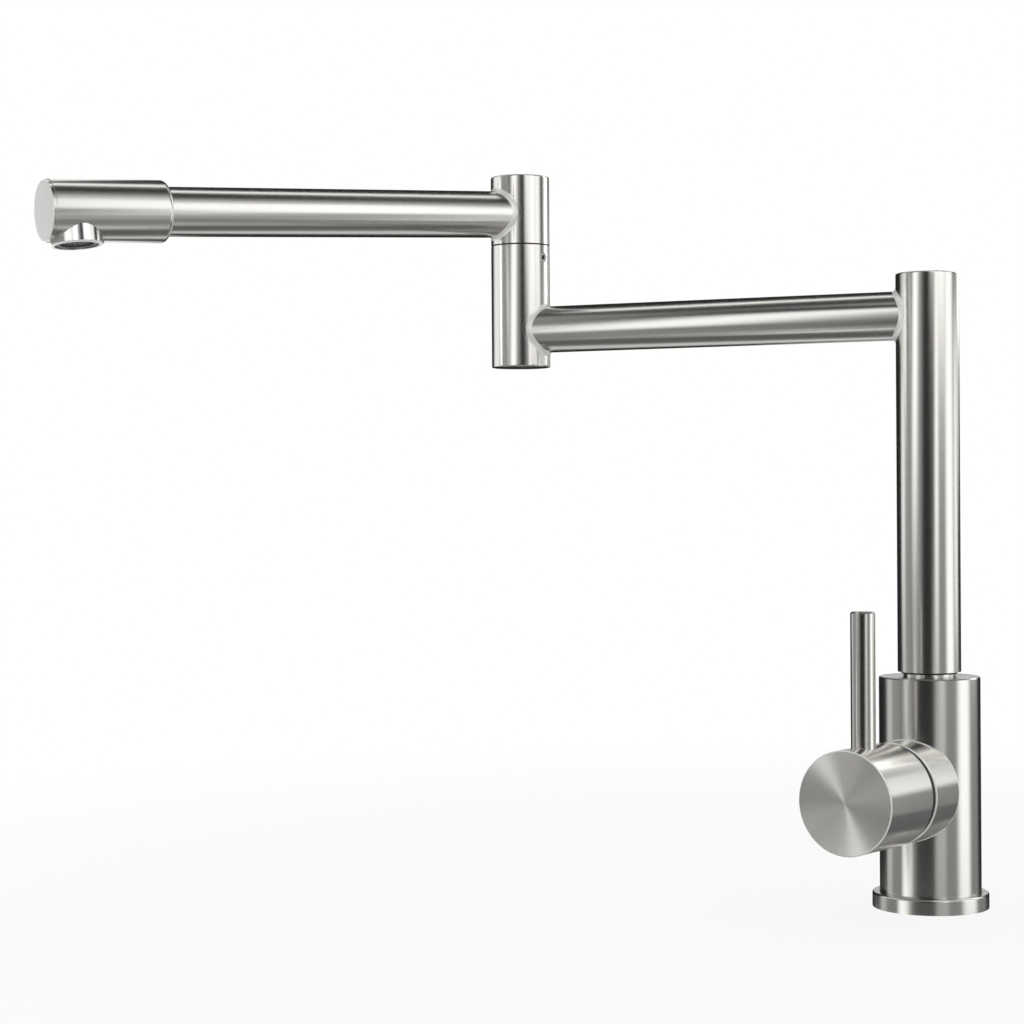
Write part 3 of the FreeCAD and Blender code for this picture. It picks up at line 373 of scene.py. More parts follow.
def trueNormals(mesh, lines):
    # corners on a surface of revolution get its own normal, averaged along a rounded edge
    shadeSmooth(mesh)
    count = len(mesh.polygons)
    points, corners = listed(mesh.vertices, "co", 3), listed(mesh.loops, "vertex_index", kind=int)
    faceNormals, centres = listed(mesh.polygons, "normal", 3), listed(mesh.polygons, "center", 3)
    areas, totals = listed(mesh.polygons, "area"), listed(mesh.polygons, "loop_total", kind=int)
    normals = np.array([normal.vector for normal in mesh.corner_normals])
    faceOf = np.repeat(np.arange(count), totals)

    best, choice = np.full(count, turned["stray"]), np.full(count, -1)
    for number, line in enumerate(lines):
        axis, radial = about(line, centres)[:2]
        stray = np.abs((faceNormals * np.cross(axis, radial)).sum(1))
        stray[np.abs(faceNormals @ axis) > turned["flat"]] = 0.0
        better = stray < best - turned["differ"]
        best[better], choice[better] = stray[better], number
    for number, line in enumerate(lines):
        picked = np.flatnonzero(choice[faceOf] == number)
        if not len(picked):
            continue
        face, vertex = faceOf[picked], corners[picked]
        axis, radial, length = about(line, points[vertex])
        faceRadial = about(line, centres[face])[1]
        rise = faceNormals[face] @ axis
        outward = (faceNormals[face] * faceRadial).sum(1)
        slope = np.arctan2(rise, outward)
        order = np.argsort(vertex, kind="stable")
        starts = np.flatnonzero(np.r_[True, np.diff(vertex[order]) > 0])
        ends = np.r_[starts[1:], len(order)]
        smoothed = slope.copy()
        for start, end in zip(starts, ends):
            group = order[start:end]
            angles = slope[group]
            if np.ptp(angles) < turned["even"]:
                continue
            gap = (angles[:, None] - angles[None, :] + np.pi) % (2 * np.pi) - np.pi
            near = (np.abs(gap) < turned["wide"]) * areas[face[group]][None, :]
            smoothed[group] = angles - (gap * near).sum(1) / near.sum(1)
        exact = np.sin(smoothed)[:, None] * axis + np.cos(smoothed)[:, None] * radial
        flat = (np.abs(rise) > turned["flat"]) | (length < turned["onAxis"])
        exact[flat] = faceNormals[face][flat]
        normals[picked] = exact / np.linalg.norm(exact, axis=1)[:, None]
    mesh.normals_split_custom_set([tuple(normal) for normal in normals])


turnedPieces = {
    "base_flange": ("body", [columnLine]),
    "body_shell": ("body", [columnLine, handleLine, Line((0, 0, middle("column_set_screw").z), (0, 1, 0))]),
    "valve_stub": ("handle", [handleLine]),
    "column_tube": ("body", [columnLine, arm1Line]),
    "column_cap": ("body", [columnLine]),
    "column_spigot": ("neck", [columnLine]),
    "lower_post": ("elbow", [elbowLine, arm1Line, Line(middle("elbow_set_screw"), (1, 0, 0))]),
    "lower_post_cap": ("elbow", [elbowLine]),
    "upper_post": ("elbow", [elbowLine, arm2Line]),
    "upper_post_cap": ("elbow", [elbowLine]),
    "elbow_spigot": ("neck", [elbowLine]),
    "spout_head": ("arm2", [arm2Line, nozzleLine]),
    "head_end_disc": ("arm2", [arm2Line]),
    "nozzle": ("nozzle", [nozzleLine]),
    "handle_cap": ("handle", [handleLine, leverLine]),
    "lever_rod": ("lever", [leverLine]),
    "valve_block": ("brassBody", [columnLine, handleLine]),
    "cartridge_sleeve": ("brassHandle", [handleLine]),
    "cartridge_nut": ("brassHandle", [handleLine]),
    "turning_collar": ("brassHandle", [handleLine]),
    "handle_yoke": ("brassHandle", [handleLine, leverLine]),
    "valve_spool": ("spool", [handleLine]),
}
# Bevels and flat ends that have a look of their own, by the slope of the face along the piece's axis: the bevels,
# chamfers and nozzle ends get the paler finish, a painted highlight, the disc a painted sheen, and the cap's flat
# end its turned face
partLooks = {
    "handle_cap": [(0.3, 0.9, metals["paintedHighlightStub"]), (0.9, 1.1, metals["capFace"])],
    "valve_stub": [(0.3, 0.9, metals["paintedHighlightStub"])],
    "head_end_disc": [(0.3, 1.1, metals["disc"])],
    "spout_head": [(0.5, 0.9, metals["paintedHighlight2"])],
    "nozzle": [(0.3, 1.1, metals["paintedHighlight2"])],
}
for node, (metal, lines) in turnedPieces.items():
    refined(node, lines, metals[metal], partLooks.get(node, []))
for node, item in frame["nodes"].items():
    if slotOf[node] in plains:
        item.data.materials.clear()
        item.data.materials.append(plains[slotOf[node]])
for node in ("aerator_grille", "aerator_housing"):
    frame["nodes"][node].data.materials[0] = plains["aerator_shade"]
print("scene: turned pieces dressed")


# Geometry Nodes: the arms, their welds, the saddle line, the woven screen and the threads

class Tree(Nodes):
    def __init__(self, name, **inputs):
        tree = bpy.data.node_groups.new(name, "GeometryNodeTree")
        super().__init__(tree)
        self.identifiers = {}
        for label, kind in {**inputs, "Material": "Material"}.items():
            socket = tree.interface.new_socket(label, in_out="INPUT", socket_type="NodeSocket" + kind)
            self.identifiers[label] = socket.identifier
        tree.interface.new_socket("Geometry", in_out="OUTPUT", socket_type="NodeSocketGeometry")
        self.start = self.add("NodeGroupInput")
        self.end = self.add("NodeGroupOutput")

    def value(self, label):
        return self.start.outputs[label]

    def across(self):        # X and Y of the points
        return self.split(self.add("GeometryNodeInputPosition").outputs[0])[:2]

    def mix(self, share, first, second):
        return self.math("ADD", first, self.math("MULTIPLY", share, self.math("SUBTRACT", second, first)))

    def isNear(self, value, centre, reach):
        return self.math("COMPARE", value, centre, reach)

    def sheet(self, steps, rows):        # a grid, its turn in radians and its row number
        grid = self.call("GeometryNodeMeshGrid", {
            "Size X": 1.0, "Size Y": 1.0, "Vertices X": self.math("ADD", steps, 1.0), "Vertices Y": rows}, "Mesh")
        x, y = self.across()
        turn = self.math("MULTIPLY", self.math("ADD", x, 0.5), math.tau)
        row = self.math("MULTIPLY", self.math("ADD", y, 0.5), rows - 1.0)
        return grid, turn, row

    def circle(self, steps, radius):
        return self.call("GeometryNodeCurvePrimitiveCircle", {"Resolution": steps, "Radius": radius})

    def tube(self, curve, radius, capped):
        profile = self.circle(self.value("Sides"), radius)
        return self.call("GeometryNodeCurveToMesh", {
            "Curve": curve, "Profile Curve": profile, "Fill Caps": capped})

    def finish(self, geometry):
        realized = self.call("GeometryNodeRealizeInstances", {0: geometry})
        coated = self.call("GeometryNodeSetMaterial", {"Geometry": realized, "Material": self.value("Material")})
        self.link(coated, self.end.inputs[0])
        return self

    def grow(self, name, material, values, matrix=None):        # a closed plain mesh from the tree
        piece = addObject(name, bpy.data.meshes.new(name))
        modifier = piece.modifiers.new(self.tree.name, "NODES")
        modifier.node_group = self.tree
        for label, value in {**values, "Material": material}.items():
            modifier[self.identifiers[label]] = value
        mesh = settle(piece)
        closeMesh(mesh)
        if matrix:
            mesh.transform(matrix)
        shadeSmooth(mesh)
        return piece


lineInputs = {"Origin": "Vector", "Axis": "Vector", "Side": "Vector", "Rise": "Vector"}


def frameOf(line):
    return {"Origin": tuple(line.origin), "Axis": tuple(line.axis), "Side": tuple(line.side),
            "Rise": tuple(line.rise)}


def saddle(tree, ray, radius, post, back=False):
    # how far along the arm a line at this radius leaves the upright post
    flat = tree.vector("MULTIPLY", tree.value("Axis"), (1, 1, 0))
    ray = tree.vector("MULTIPLY", ray, (1, 1, 0))
    square = tree.vector("DOT_PRODUCT", flat, flat)
    slant = tree.math("MULTIPLY", radius, tree.vector("DOT_PRODUCT", flat, ray))
    if back:
        slant = tree.math("MULTIPLY", slant, -1.0)
    rest = tree.math("MULTIPLY", tree.math("MULTIPLY", radius, radius), tree.vector("DOT_PRODUCT", ray, ray))
    rest = tree.math("SUBTRACT", rest, tree.math("MULTIPLY", post, post))
    root = tree.math("SUBTRACT", tree.math("MULTIPLY", slant, slant), tree.math("MULTIPLY", square, rest))
    root = tree.math("SQRT", tree.math("MAXIMUM", root, 0.0))
    return tree.math("DIVIDE", tree.math("SUBTRACT", root, slant), square)


def spoke(tree, turn):
    first = tree.vector("SCALE", tree.value("Side"), scale=tree.math("COSINE", turn))
    second = tree.vector("SCALE", tree.value("Rise"), scale=tree.math("SINE", turn))
    return tree.vector("ADD", first, second)


def placed(tree, mesh, along, radius, ray):
    point = tree.vector("ADD", tree.vector("SCALE", tree.value("Axis"), scale=along),
                        tree.vector("SCALE", ray, scale=radius))
    point = tree.vector("ADD", point, tree.value("Origin"))
    return tree.call("GeometryNodeSetPosition", {"Geometry": mesh, "Position": point})


def weldedArmTree():
    tree = Tree("weldedArm", **lineInputs, Radius="Float", Wall="Float", Length="Float", Post="Float",
                FarPost="Float", Sink="Float", Steps="Int")
    # rows: outside at the start, outside and inside at the end, inside at the start, and the first again
    mesh, turn, row = tree.sheet(tree.value("Steps"), 5)
    atEnd, inside = tree.isNear(row, 1.5, 0.9), tree.isNear(row, 2.5, 0.9)
    ray = spoke(tree, turn)
    radius = tree.math("SUBTRACT", tree.value("Radius"), tree.math("MULTIPLY", inside, tree.value("Wall")))
    near = tree.math("SUBTRACT", saddle(tree, ray, radius, tree.value("Post")), tree.value("Sink"))
    away = tree.math("SUBTRACT", saddle(tree, ray, radius, tree.value("Post"), True), tree.value("Sink"))
    far = tree.math("SUBTRACT", tree.value("Length"), tree.math("MULTIPLY", away, tree.value("FarPost")))
    return tree.finish(placed(tree, mesh, tree.mix(atEnd, near, far), radius, ray))


def weldTree():
    tree = Tree("weldRing", **lineInputs, Radius="Float", Post="Float", Leg="Float", Crown="Float", Sink="Float",
                Steps="Int")
    # rows 0 to 8 cross the weld from arm to post, row 9 is its hidden corner, and row 10 the first again
    mesh, turn, row = tree.sheet(tree.value("Steps"), 11)
    part = tree.math("MULTIPLY", tree.math("MINIMUM", row, 8.0), 1 / 8)
    part = tree.math("MULTIPLY", part, tree.math("LESS_THAN", row, 9.5))
    corner = tree.isNear(row, 9.0, 0.4)
    ray = spoke(tree, turn)
    leg, radius, sink = tree.value("Leg"), tree.value("Radius"), tree.value("Sink")
    root = saddle(tree, ray, radius, tree.value("Post"))
    edge = saddle(tree, ray, tree.math("ADD", radius, leg), tree.value("Post"))
    crown = tree.math("MULTIPLY", tree.math("SINE", tree.math("MULTIPLY", part, math.pi)), tree.value("Crown"))
    along = tree.math("ADD", tree.mix(part, tree.math("ADD", root, leg), edge), crown)
    along = tree.mix(corner, along, tree.math("SUBTRACT", root, sink))
    out = tree.math("ADD", tree.math("ADD", radius, tree.math("MULTIPLY", part, leg)), crown)
    out = tree.mix(corner, out, tree.math("SUBTRACT", radius, sink))
    return tree.finish(placed(tree, mesh, along, out, ray))


def saddleLineTree():
    # the line where the stub meets the body, and its flat rim behind the plane where it leaves the body
    tree = Tree("saddleLine", Radius="Float", Body="Float", Back="Float", Rim="Float", Fade="Float", Wire="Float",
                Steps="Int", Sides="Int")
    radius, body, back, rim = (tree.value(label) for label in ("Radius", "Body", "Back", "Rim"))
    across, up = tree.across()
    out = tree.math("SUBTRACT", tree.math("MULTIPLY", body, body), tree.math("MULTIPLY", across, across))
    out = tree.math("SQRT", tree.math("MAXIMUM", out, 0.0))
    free = tree.smooth(out, back, tree.math("ADD", back, tree.value("Fade")), 1.0, 0.0)
    out = tree.math("MAXIMUM", out, tree.math("ADD", back, rim))
    inset = tree.math("SUBTRACT", 1.0, tree.math("MULTIPLY", free, tree.math("DIVIDE", rim, radius)))
    place = tree.combine(tree.math("MULTIPLY", across, inset), tree.math("MULTIPLY", out, -1.0),
                         tree.math("MULTIPLY", up, inset))
    bent = tree.call("GeometryNodeSetPosition", {
        "Geometry": tree.circle(tree.value("Steps"), radius), "Position": place})
    return tree.finish(tree.tube(bent, tree.value("Wire"), False))


def screenTree():
    tree = Tree("wovenScreen", Radius="Float", Pitch="Float", Wire="Float", Count="Int", Points="Int", Sides="Int")
    radius, pitch, wire, count = (tree.value(label) for label in ("Radius", "Pitch", "Wire", "Count"))
    half = tree.math("MULTIPLY", tree.math("SUBTRACT", count, 1.0), 0.5)
    line = tree.call("GeometryNodeCurvePrimitiveLine", {
        "Start": tree.combine(tree.math("MULTIPLY", radius, -1.0), 0.0, 0.0),
        "End": tree.combine(radius, 0.0, 0.0)})
    line = tree.call("GeometryNodeResampleCurve", {"Curve": line, "Count": tree.value("Points")})
    number = tree.add("GeometryNodeInputIndex").outputs[0]
    offset = tree.math("MULTIPLY", tree.math("SUBTRACT", number, half), pitch)
    chord = tree.math("SUBTRACT", 1.0, tree.math("POWER", tree.math("DIVIDE", offset, radius), 2.0))
    chord = tree.math("SQRT", tree.math("MAXIMUM", chord, 0.0001))
    points = tree.call("GeometryNodePoints", {"Count": count, "Position": tree.combine(0.0, offset, 0.0)})
    wires = tree.call("GeometryNodeInstanceOnPoints", {
        "Points": points, "Instance": line, "Scale": tree.combine(chord, 1.0, 1.0)})
    wires = tree.call("GeometryNodeRealizeInstances", {0: wires})
    x, y = tree.across()
    phase = tree.math("ADD", tree.math("DIVIDE", x, pitch), tree.math("DIVIDE", y, pitch))
    wave = tree.math("MULTIPLY", tree.math("COSINE", tree.math("MULTIPLY", phase, math.pi)), wire)
    wires = tree.call("GeometryNodeSetPosition", {"Geometry": wires, "Offset": tree.combine(0.0, 0.0, wave)})
    weft = tree.tube(wires, wire, True)
    warp = tree.call("GeometryNodeTransform", {"Geometry": weft, "Rotation": (math.pi, 0, math.pi / 2)})
    join = tree.add("GeometryNodeJoinGeometry")
    tree.link(weft, join.inputs[0])
    tree.link(warp, join.inputs[0])
    return tree.finish(join.outputs[0])


def threadTree():
    tree = Tree("threadRidge", Radius="Float", Pitch="Float", Depth="Float", Length="Float", Steps="Int",
                Sides="Int")
    radius, length = tree.value("Radius"), tree.value("Length")
    spiral = tree.call("GeometryNodeCurveSpiral", {
        "Resolution": tree.value("Steps"), "Rotations": tree.math("DIVIDE", length, tree.value("Pitch")),
        "Start Radius": radius, "End Radius": radius, "Height": length})
    return tree.finish(tree.tube(spiral, tree.value("Depth"), True))


# Both arms and their welds, from the CAD tubes
arms = {"Radius": span("arm_1_tube", arm1Line)[2], "Post": span("column_cap", columnLine)[2], "Sink": 0.15 * mm,
        "Steps": 160}
tubes = {**arms, "Wall": 1.5 * mm}
welds = {**arms, "Leg": 1.8 * mm, "Crown": -0.25 * mm}
weldedArm, weldRing = weldedArmTree(), weldTree()

arm1 = weldedArm.grow("arm_1", metals["arm1"], {
    **frameOf(arm1Line), **tubes, "Length": elbow.xy.length, "FarPost": 1.0})
assign(arm1, "column", "brushed_steel", "arm_1_tube")
arm2 = weldedArm.grow("arm_2", metals["arm2"], {
    **frameOf(arm2Line), **tubes, "Length": span("arm_2_tube", arm2Line)[1], "FarPost": 0.0})
assign(arm2, "spout_arm", "brushed_steel", "arm_2_tube")

farLine = Line((elbow.x, elbow.y, arm1Line.origin.z), -arm1Line.axis)
# the weld rings wear the paler finish: painted highlight on real welds
nearWeld = weldRing.grow("weld_at_column", metals["paintedHighlight1"], {**frameOf(arm1Line), **welds})
farWeld = weldRing.grow("weld_at_elbow", metals["paintedHighlight1"], {**frameOf(farLine), **welds})
upperWeld = weldRing.grow("weld_at_upper_post", metals["paintedHighlight2"], {**frameOf(arm2Line), **welds})
assign(nearWeld, "column", "polished_steel", "arm_1_welds")
assign(farWeld, "column", "polished_steel")
assign(upperWeld, "spout_arm", "polished_steel", "arm_2_weld")
print("scene: arms and welds grown")

stub = span("valve_stub", handleLine)
bead = {"Back": stub[0], "Radius": stub[2], "Body": span("body_shell", columnLine)[2], "Rim": 0.35 * mm,
        "Fade": 2.0 * mm, "Wire": 0.42 * mm, "Steps": 160, "Sides": 10}
# the bead wears the paler finish: painted highlight along the line where the stub meets the body
saddleBead = saddleLineTree().grow("stub_saddle_bead", metals["paintedHighlightStub"], bead,
                                   Matrix.Translation(handleLine.origin))
assign(saddleBead, "base", "brushed_steel")

screenStart, screenEnd, screenRadius = span("aerator_screen", nozzleLine)
screen = {"Radius": screenRadius - 0.15 * mm, "Pitch": 0.9 * mm, "Wire": 0.13 * mm, "Count": 20, "Points": 72,
          "Sides": 5}
woven = screenTree().grow("woven_screen", plains["screen_steel"], screen,
                          nozzleLine.matrix() @ Matrix.Translation((0, 0, (screenStart + screenEnd) / 2)))
assign(woven, "spout_arm", "screen_steel", "aerator_screen")

shankThread = {"Radius": 16.45 * mm, "Pitch": 1.5 * mm, "Depth": 0.42 * mm, "Length": 12.3 * mm, "Steps": 84,
               "Sides": 6}
inletThread = {"Radius": 4.47 * mm, "Pitch": 1.0 * mm, "Depth": 0.30 * mm, "Length": 10.5 * mm, "Steps": 40,
               "Sides": 6}
# the socket of each thread, and how far in it starts
threads = {
    "shank_thread": ("shank_socket", 0.9 * mm, shankThread),
    "hot_thread": ("hot_inlet", 0.8 * mm, inletThread),
    "cold_thread": ("cold_inlet", 0.8 * mm, inletThread),
}
threadRidge = threadTree()
for name, (socket, inset, ridge) in threads.items():
    start = Vector(mounts[socket]["pos_m"]) + Vector((0, 0, inset))
    assign(threadRidge.grow(name, metals["brassBody"], ridge, Matrix.Translation(start)), "base", "brass")
print("scene: bead, screen and threads grown")


# A near-black ring in the gap under the column: painted shade, a dark piece where there is only the gap's shade

columnStart = span("column_tube", columnLine)[0]
gap = {"inner": 12.6 * mm, "outer": 14.0 * mm, "low": columnStart - 0.95 * mm, "high": columnStart - 0.03 * mm,
       "steps": 96}


def unitCircle(steps):
    return [(math.cos(math.tau * i / steps), math.sin(math.tau * i / steps)) for i in range(steps)]


def ringPiece(name, line, sizes):
    steps = sizes["steps"]
    corners = [(sizes[wide], sizes[tall]) for wide, tall in (
        ("inner", "low"), ("outer", "low"), ("outer", "high"), ("inner", "high"))]
    points = [line.origin + line.axis * along + radius * (line.side * x + line.rise * y)
              for radius, along in corners for x, y in unitCircle(steps)]
    faces = [(c * steps + i, c * steps + (i + 1) % steps, (c + 1) % 4 * steps + (i + 1) % steps,
              (c + 1) % 4 * steps + i) for c in range(4) for i in range(steps)]
    piece = meshObject(name, points, faces)
    closeMesh(piece.data)
    shadeSmooth(piece.data)
    return piece


# a near-black ring set into the gap: painted shade where the gap's shadow falls
shadeRing = ringPiece("column_gap_painted_shade", columnLine, gap)
shadeRing.data.materials.append(plains["bearing_plastic"])
assign(shadeRing, "column", "bearing_plastic")


# Studio: a white room for the camera, and soft panels that only the metal sees

camera = {
    "place": (0.5529, -1.0472, 0.2079), "look": (-0.6170, 0.7870), "pitch": -0.0058, "roll": -0.0069,
    "focalPixels": 2300.0, "imagePixels": 1024.0, "sensor": 36.0, "farthest": 50.0,
}
# the camera's bearing from the column
columnBearing = math.degrees(math.atan2(camera["place"][1], camera["place"][0]))

studio = {
    "radius": 0.50, "floor": -0.30, "table": -0.11, "ceiling": 0.90, "spread": 1.6, "steps": 96,
    "dark": 0.018, "middle": 0.233,
    # bearing from the camera's side, lean per metre, half width, side edge, lowest, highest, end edge, strength
    "panels": [
        (-50, 55, 11, 11, 0.17, 0.62, 0.16, 1.55),
        (-56, 0, 9, 12, -0.30, 0.15, 0.10, 0.35),
        (-78, 20, 14, 8, -0.30, 0.80, 0.12, 0.30),
        (-30, 40, 7, 20, -0.30, 0.50, 0.12, 0.36),
        (-97, 20, 10, 9, -0.30, 0.14, 0.12, 0.62),
        (-102, 20, 11, 10, 0.12, 0.80, 0.12, 1.10),
        (30, 25, 7, 9, 0.11, 0.42, 0.06, 1.45),
        (26, 10, 13, 8, -0.30, 0.12, 0.06, 0.55),
        (51, 0, 15, 12, 0.30, 0.86, 0.14, 1.60),
        (22, 0, 14, 10, 0.40, 0.90, 0.12, 1.50),
        (50, 0, 14, 8, -0.30, 0.34, 0.12, 0.26),
        (82, 0, 18, 18, -0.30, 0.66, 0.12, 1.38),
        (116, 0, 12, 10, 0.10, 0.34, 0.08, 1.20),
        (118, 0, 16, 10, -0.30, 0.12, 0.06, 0.26),
        (136, 0, 10, 10, 0.22, 0.52, 0.10, 0.85),
        (150, 0, 11, 8, 0.33, 0.90, 0.10, 3.20),
        (180, 0, 13, 12, 0.00, 0.45, 0.12, 0.55),
    ],
    # across both arms: the ceiling's bright strip (place, half width, edge, strength), and its far side
    "ceilingStrip": (-0.195, 0.060, 0.10, 1.6),
    "ceilingFar": (0.04, 0.60, 1.1),        # start, full, strength
    # the table's gloss in the same direction: place, half width, edge, strength
    "tableBands": [(0.11, 0.09, 0.12, 0.46), (0.33, 0.25, 0.13, 0.24), (-0.12, 0.10, 0.08, 0.12),
                   (-0.36, 0.13, 0.09, 0.75)],
    # near cards: centre, facing, half width, half height, edge, strength
    "cards": [((-0.378, -0.355, 0.345), (0.71, 0.71, 0.0), 0.030, 0.036, 0.012, 1.00),
              ((-0.287, -0.376, 0.345), (0.0, 1.0, 0.0), 0.029, 0.036, 0.008, 1.30),
              ((-0.415, -0.290, 0.350), (1.0, -0.05, 0.0), 0.060, 0.070, 0.010, 2.90),
              ((-0.090, -0.190, -0.020), (0.0, 1.0, 0.0), 0.064, 0.075, 0.045, 1.55),
              ((-0.078, -0.190, 0.100), (0.0, 1.0, 0.0), 0.028, 0.022, 0.020, 1.05)],
}
# A card for the cap's turned face, brighter in a few sectors: turn, reach, gain
capCard = {"distance": 0.10, "radius": 0.055, "steps": 48, "base": 0.285,
           "sectors": [(125, 22, 1.00), (287, 25, 0.92), (18, 32, 0.20), (203, 26, 0.14)]}


def fall(nodes, value, limit, edge, strength=1.0):        # from the strength to nothing across a soft edge
    return nodes.smooth(value, limit - edge / 2, limit + edge / 2, strength, 0.0)


def degrees(nodes, y, x):
    return nodes.math("MULTIPLY", nodes.math("ARCTAN2", y, x), 180 / math.pi)


def apart(nodes, first, second):        # degrees between two bearings
    return nodes.math("ABSOLUTE", nodes.math("WRAP", nodes.math("SUBTRACT", first, second), 180.0, -180.0))


def wallGlow(nodes, place):
    x, y, z = nodes.split(place)
    heading = nodes.math("SUBTRACT", degrees(nodes, y, x), columnBearing)
    height = nodes.math("SUBTRACT", z, studio["middle"])
    total = studio["dark"]
    for centre, lean, half, edge, low, high, endEdge, strength in studio["panels"]:
        away = apart(nodes, heading, nodes.math("MULTIPLY_ADD", height, lean, centre))
        above = nodes.smooth(z, low - endEdge / 2, low + endEdge / 2)
        panel = nodes.math("MULTIPLY", fall(nodes, away, half, edge), above)
        panel = nodes.math("MULTIPLY", panel, fall(nodes, z, high, endEdge))
        total = nodes.math("MAXIMUM", total, nodes.math("MULTIPLY", panel, strength))
    return total


def acrossArms(nodes, place):        # along the line that runs across both arms
    return nodes.vector("DOT_PRODUCT", place, (math.sqrt(0.5), -math.sqrt(0.5), 0))


def band(nodes, place, centre, half, edge, strength):
    away = nodes.math("ABSOLUTE", nodes.math("SUBTRACT", acrossArms(nodes, place), centre))
    return fall(nodes, away, half, edge, strength)


def ceilingGlow(nodes, place):
    start, full, strength = studio["ceilingFar"]
    side = nodes.smooth(acrossArms(nodes, place), start, full, 0.0, strength)
    return nodes.math("MAXIMUM", nodes.math("MAXIMUM", band(nodes, place, *studio["ceilingStrip"]), side),
                      studio["dark"])


def tableGlow(nodes, place):
    total = studio["dark"]
    for stripe in studio["tableBands"]:
        total = nodes.math("MAXIMUM", total, band(nodes, place, *stripe))
    return total


def cardMask(line, half, tall, edge):
    def mask(nodes, place):
        offset = nodes.vector("SUBTRACT", place, tuple(line.origin))
        total = 1.0
        for way, size in ((line.side, half), (line.rise, tall)):
            away = nodes.math("ABSOLUTE", nodes.vector("DOT_PRODUCT", offset, tuple(way)))
            total = nodes.math("MULTIPLY", nodes.smooth(away, size - edge, size, 1.0, 0.0), total)
        return total
    return mask


def sectorGlow(centre):
    def glow(nodes, place):
        offset = nodes.vector("SUBTRACT", place, tuple(centre))
        turn = degrees(nodes, nodes.vector("DOT_PRODUCT", offset, (0, 0, 1)),
                       nodes.vector("DOT_PRODUCT", offset, (1, 0, 0)))
        total = capCard["base"]
        for middleTurn, reach, gain in capCard["sectors"]:
            away = apart(nodes, turn, middleTurn)
            total = nodes.math("ADD", total, nodes.smooth(away, 0.0, reach, gain, 0.0))
        return total
    return glow


def onlyForGloss(name, points, faces, strength, mask=None):
    # a glowing sheet that only gloss sees, and that is clear outside its mask
    item = meshObject(name, points, faces)
    material, nodes = nodeMaterial(name)
    place = nodes.place()
    surface = nodes.call("ShaderNodeEmission", {"Strength": strength(nodes, place)})
    if mask:
        clear = nodes.add("ShaderNodeBsdfTransparent").outputs[0]
        surface = nodes.blend(mask(nodes, place), clear, surface)
    nodes.show(surface)
    item.data.materials.append(material)
    item.visible_camera = False
    item.visible_diffuse = False
    item.visible_shadow = False
    item.visible_transmission = False
    item.visible_volume_scatter = False


def makeStudio():
    steps, radius, wide = studio["steps"], studio["radius"], studio["radius"] * studio["spread"]
    ring = unitCircle(steps)
    points = [(x * radius, y * radius, z) for z in (studio["floor"], studio["ceiling"]) for x, y in ring]
    faces = [(i, (i + 1) % steps, steps + (i + 1) % steps, steps + i) for i in range(steps)]
    onlyForGloss("studio_wall", points, faces, wallGlow)
    for side, glow in (("ceiling", ceilingGlow), ("table", tableGlow)):
        points = [(x * wide, y * wide, studio[side]) for x, y in ring]
        onlyForGloss("studio_" + side, points, [range(steps)], glow)


def makeCards():
    for number, (centre, facing, half, tall, edge, strength) in enumerate(studio["cards"], 1):
        line = Line(centre, facing)
        corners = [line.origin + line.side * half * a + line.rise * tall * b
                   for a, b in ((-1, -1), (1, -1), (1, 1), (-1, 1))]
        onlyForGloss(f"card_{number}", corners, [(0, 1, 2, 3)], lambda nodes, place: strength,
                     cardMask(line, half, tall, edge))
    # the cap's face mirrors the camera's side of the room at this place
    face = Vector((0, -span("handle_cap", handleLine)[1], handleLine.origin.z))
    toCamera = Vector(camera["place"]) - face
    mirrored = Vector((-toCamera.x, toCamera.y, -toCamera.z))
    centre = face + mirrored * (capCard["distance"] / abs(toCamera.y))
    rim = [centre + Vector((x, 0, z)) * capCard["radius"] for x, z in unitCircle(capCard["steps"])]
    onlyForGloss("card_for_cap", rim, [range(capCard["steps"])], sectorGlow(centre))


# the floor's half size and paint, and how much of it glows for the camera: within near, and beyond far
ground = {"half": 6.0, "paint": (0.9, 0.9, 0.9, 1), "near": 0.35, "far": 0.85, "nearShare": 0.85, "farShare": 1.0}


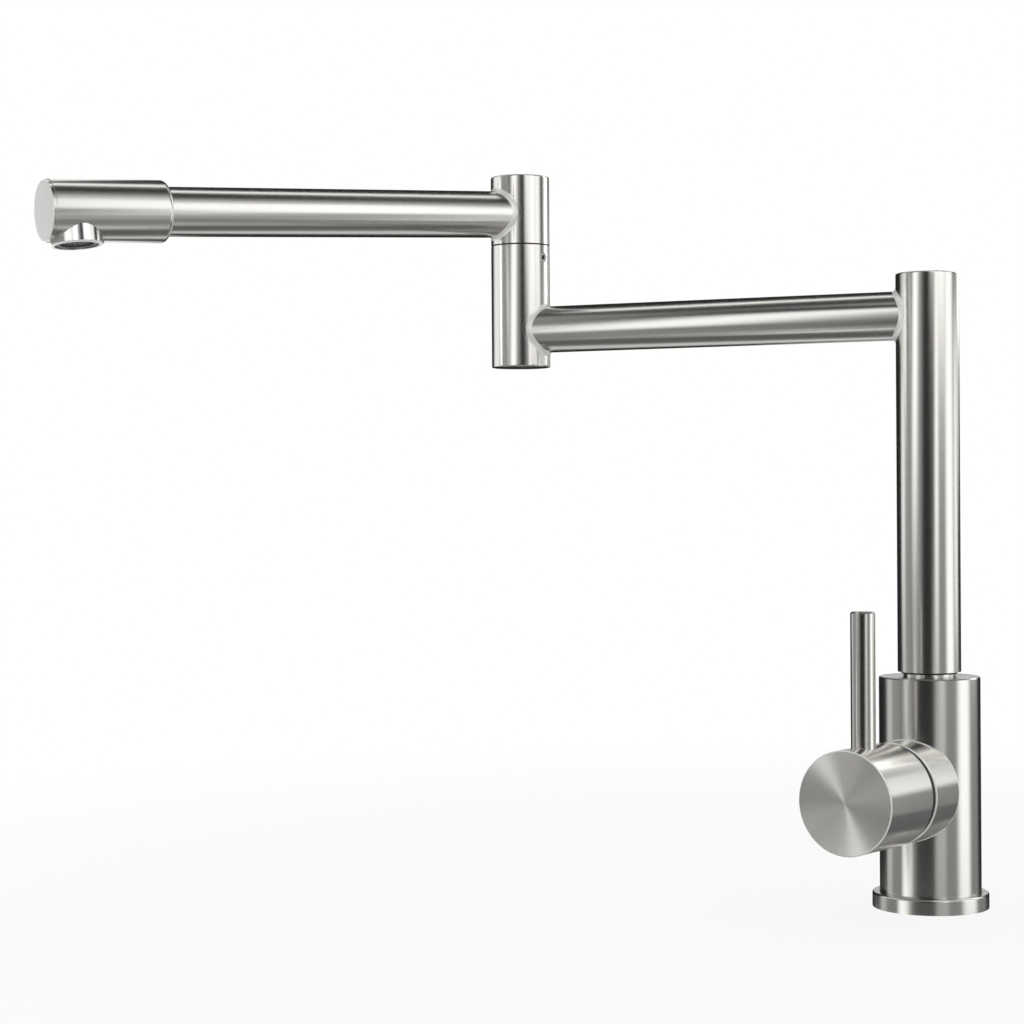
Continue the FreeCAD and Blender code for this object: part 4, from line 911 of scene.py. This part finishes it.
def makeFloor():
    half = ground["half"]
    floor = meshObject("floor", [(-half, -half, 0), (half, -half, 0), (half, half, 0), (-half, half, 0)],
                       [(0, 1, 2, 3)])
    material, nodes = nodeMaterial("floor")
    away = nodes.vector("LENGTH", nodes.place())
    share = nodes.smooth(away, ground["near"], ground["far"], ground["nearShare"], ground["farShare"])
    share = nodes.math("MULTIPLY", nodes.add("ShaderNodeLightPath").outputs["Is Camera Ray"], share)
    paint = nodes.call("ShaderNodeBsdfDiffuse", {"Color": ground["paint"]})
    nodes.show(nodes.blend(share, paint, nodes.add("ShaderNodeEmission").outputs[0]))
    floor.data.materials.append(material)
    floor.visible_glossy = False


light = {"object": 0.8, "background": 1.0}        # the world's strength


def makeWorld():
    world = bpy.data.worlds.new("studio")
    bpy.context.scene.world = world
    world.use_nodes = True
    world.node_tree.nodes.clear()
    nodes = Nodes(world.node_tree)
    rays = nodes.add("ShaderNodeLightPath")
    seen = nodes.math("MAXIMUM", rays.outputs["Is Camera Ray"], rays.outputs["Is Glossy Ray"])
    seen = nodes.math("MAXIMUM", seen, rays.outputs["Is Transmission Ray"])
    sky = nodes.call("ShaderNodeBackground", {
        "Color": (1, 1, 1, 1), "Strength": nodes.smooth(seen, 0.0, 1.0, light["object"], light["background"])})
    nodes.link(sky, nodes.add("ShaderNodeOutputWorld").inputs["Surface"])


def makeCamera():
    eye = bpy.data.cameras.new("camera")
    eye.sensor_width = camera["sensor"]
    eye.lens = camera["focalPixels"] / camera["imagePixels"] * camera["sensor"]
    eye.clip_end = camera["farthest"]
    item = addObject("camera", eye)
    level, upright = Vector((*camera["look"], 0)).normalized(), Vector((0, 0, 1))
    forward = (level * math.cos(camera["pitch"]) + upright * math.sin(camera["pitch"])).normalized()
    right = forward.cross(upright).normalized()
    up = right.cross(forward)
    roll = camera["roll"]
    turnedRight = right * math.cos(roll) + up * math.sin(roll)
    turnedUp = up * math.cos(roll) - right * math.sin(roll)
    turn = Matrix((turnedRight, turnedUp, -forward)).transposed()
    item.matrix_world = Matrix.Translation(camera["place"]) @ turn.to_4x4()
    bpy.context.scene.camera = item


makeStudio()
makeCards()
makeFloor()
makeWorld()
makeCamera()
bpy.context.scene.view_settings.view_transform = "Standard"
print("scene: studio ready")
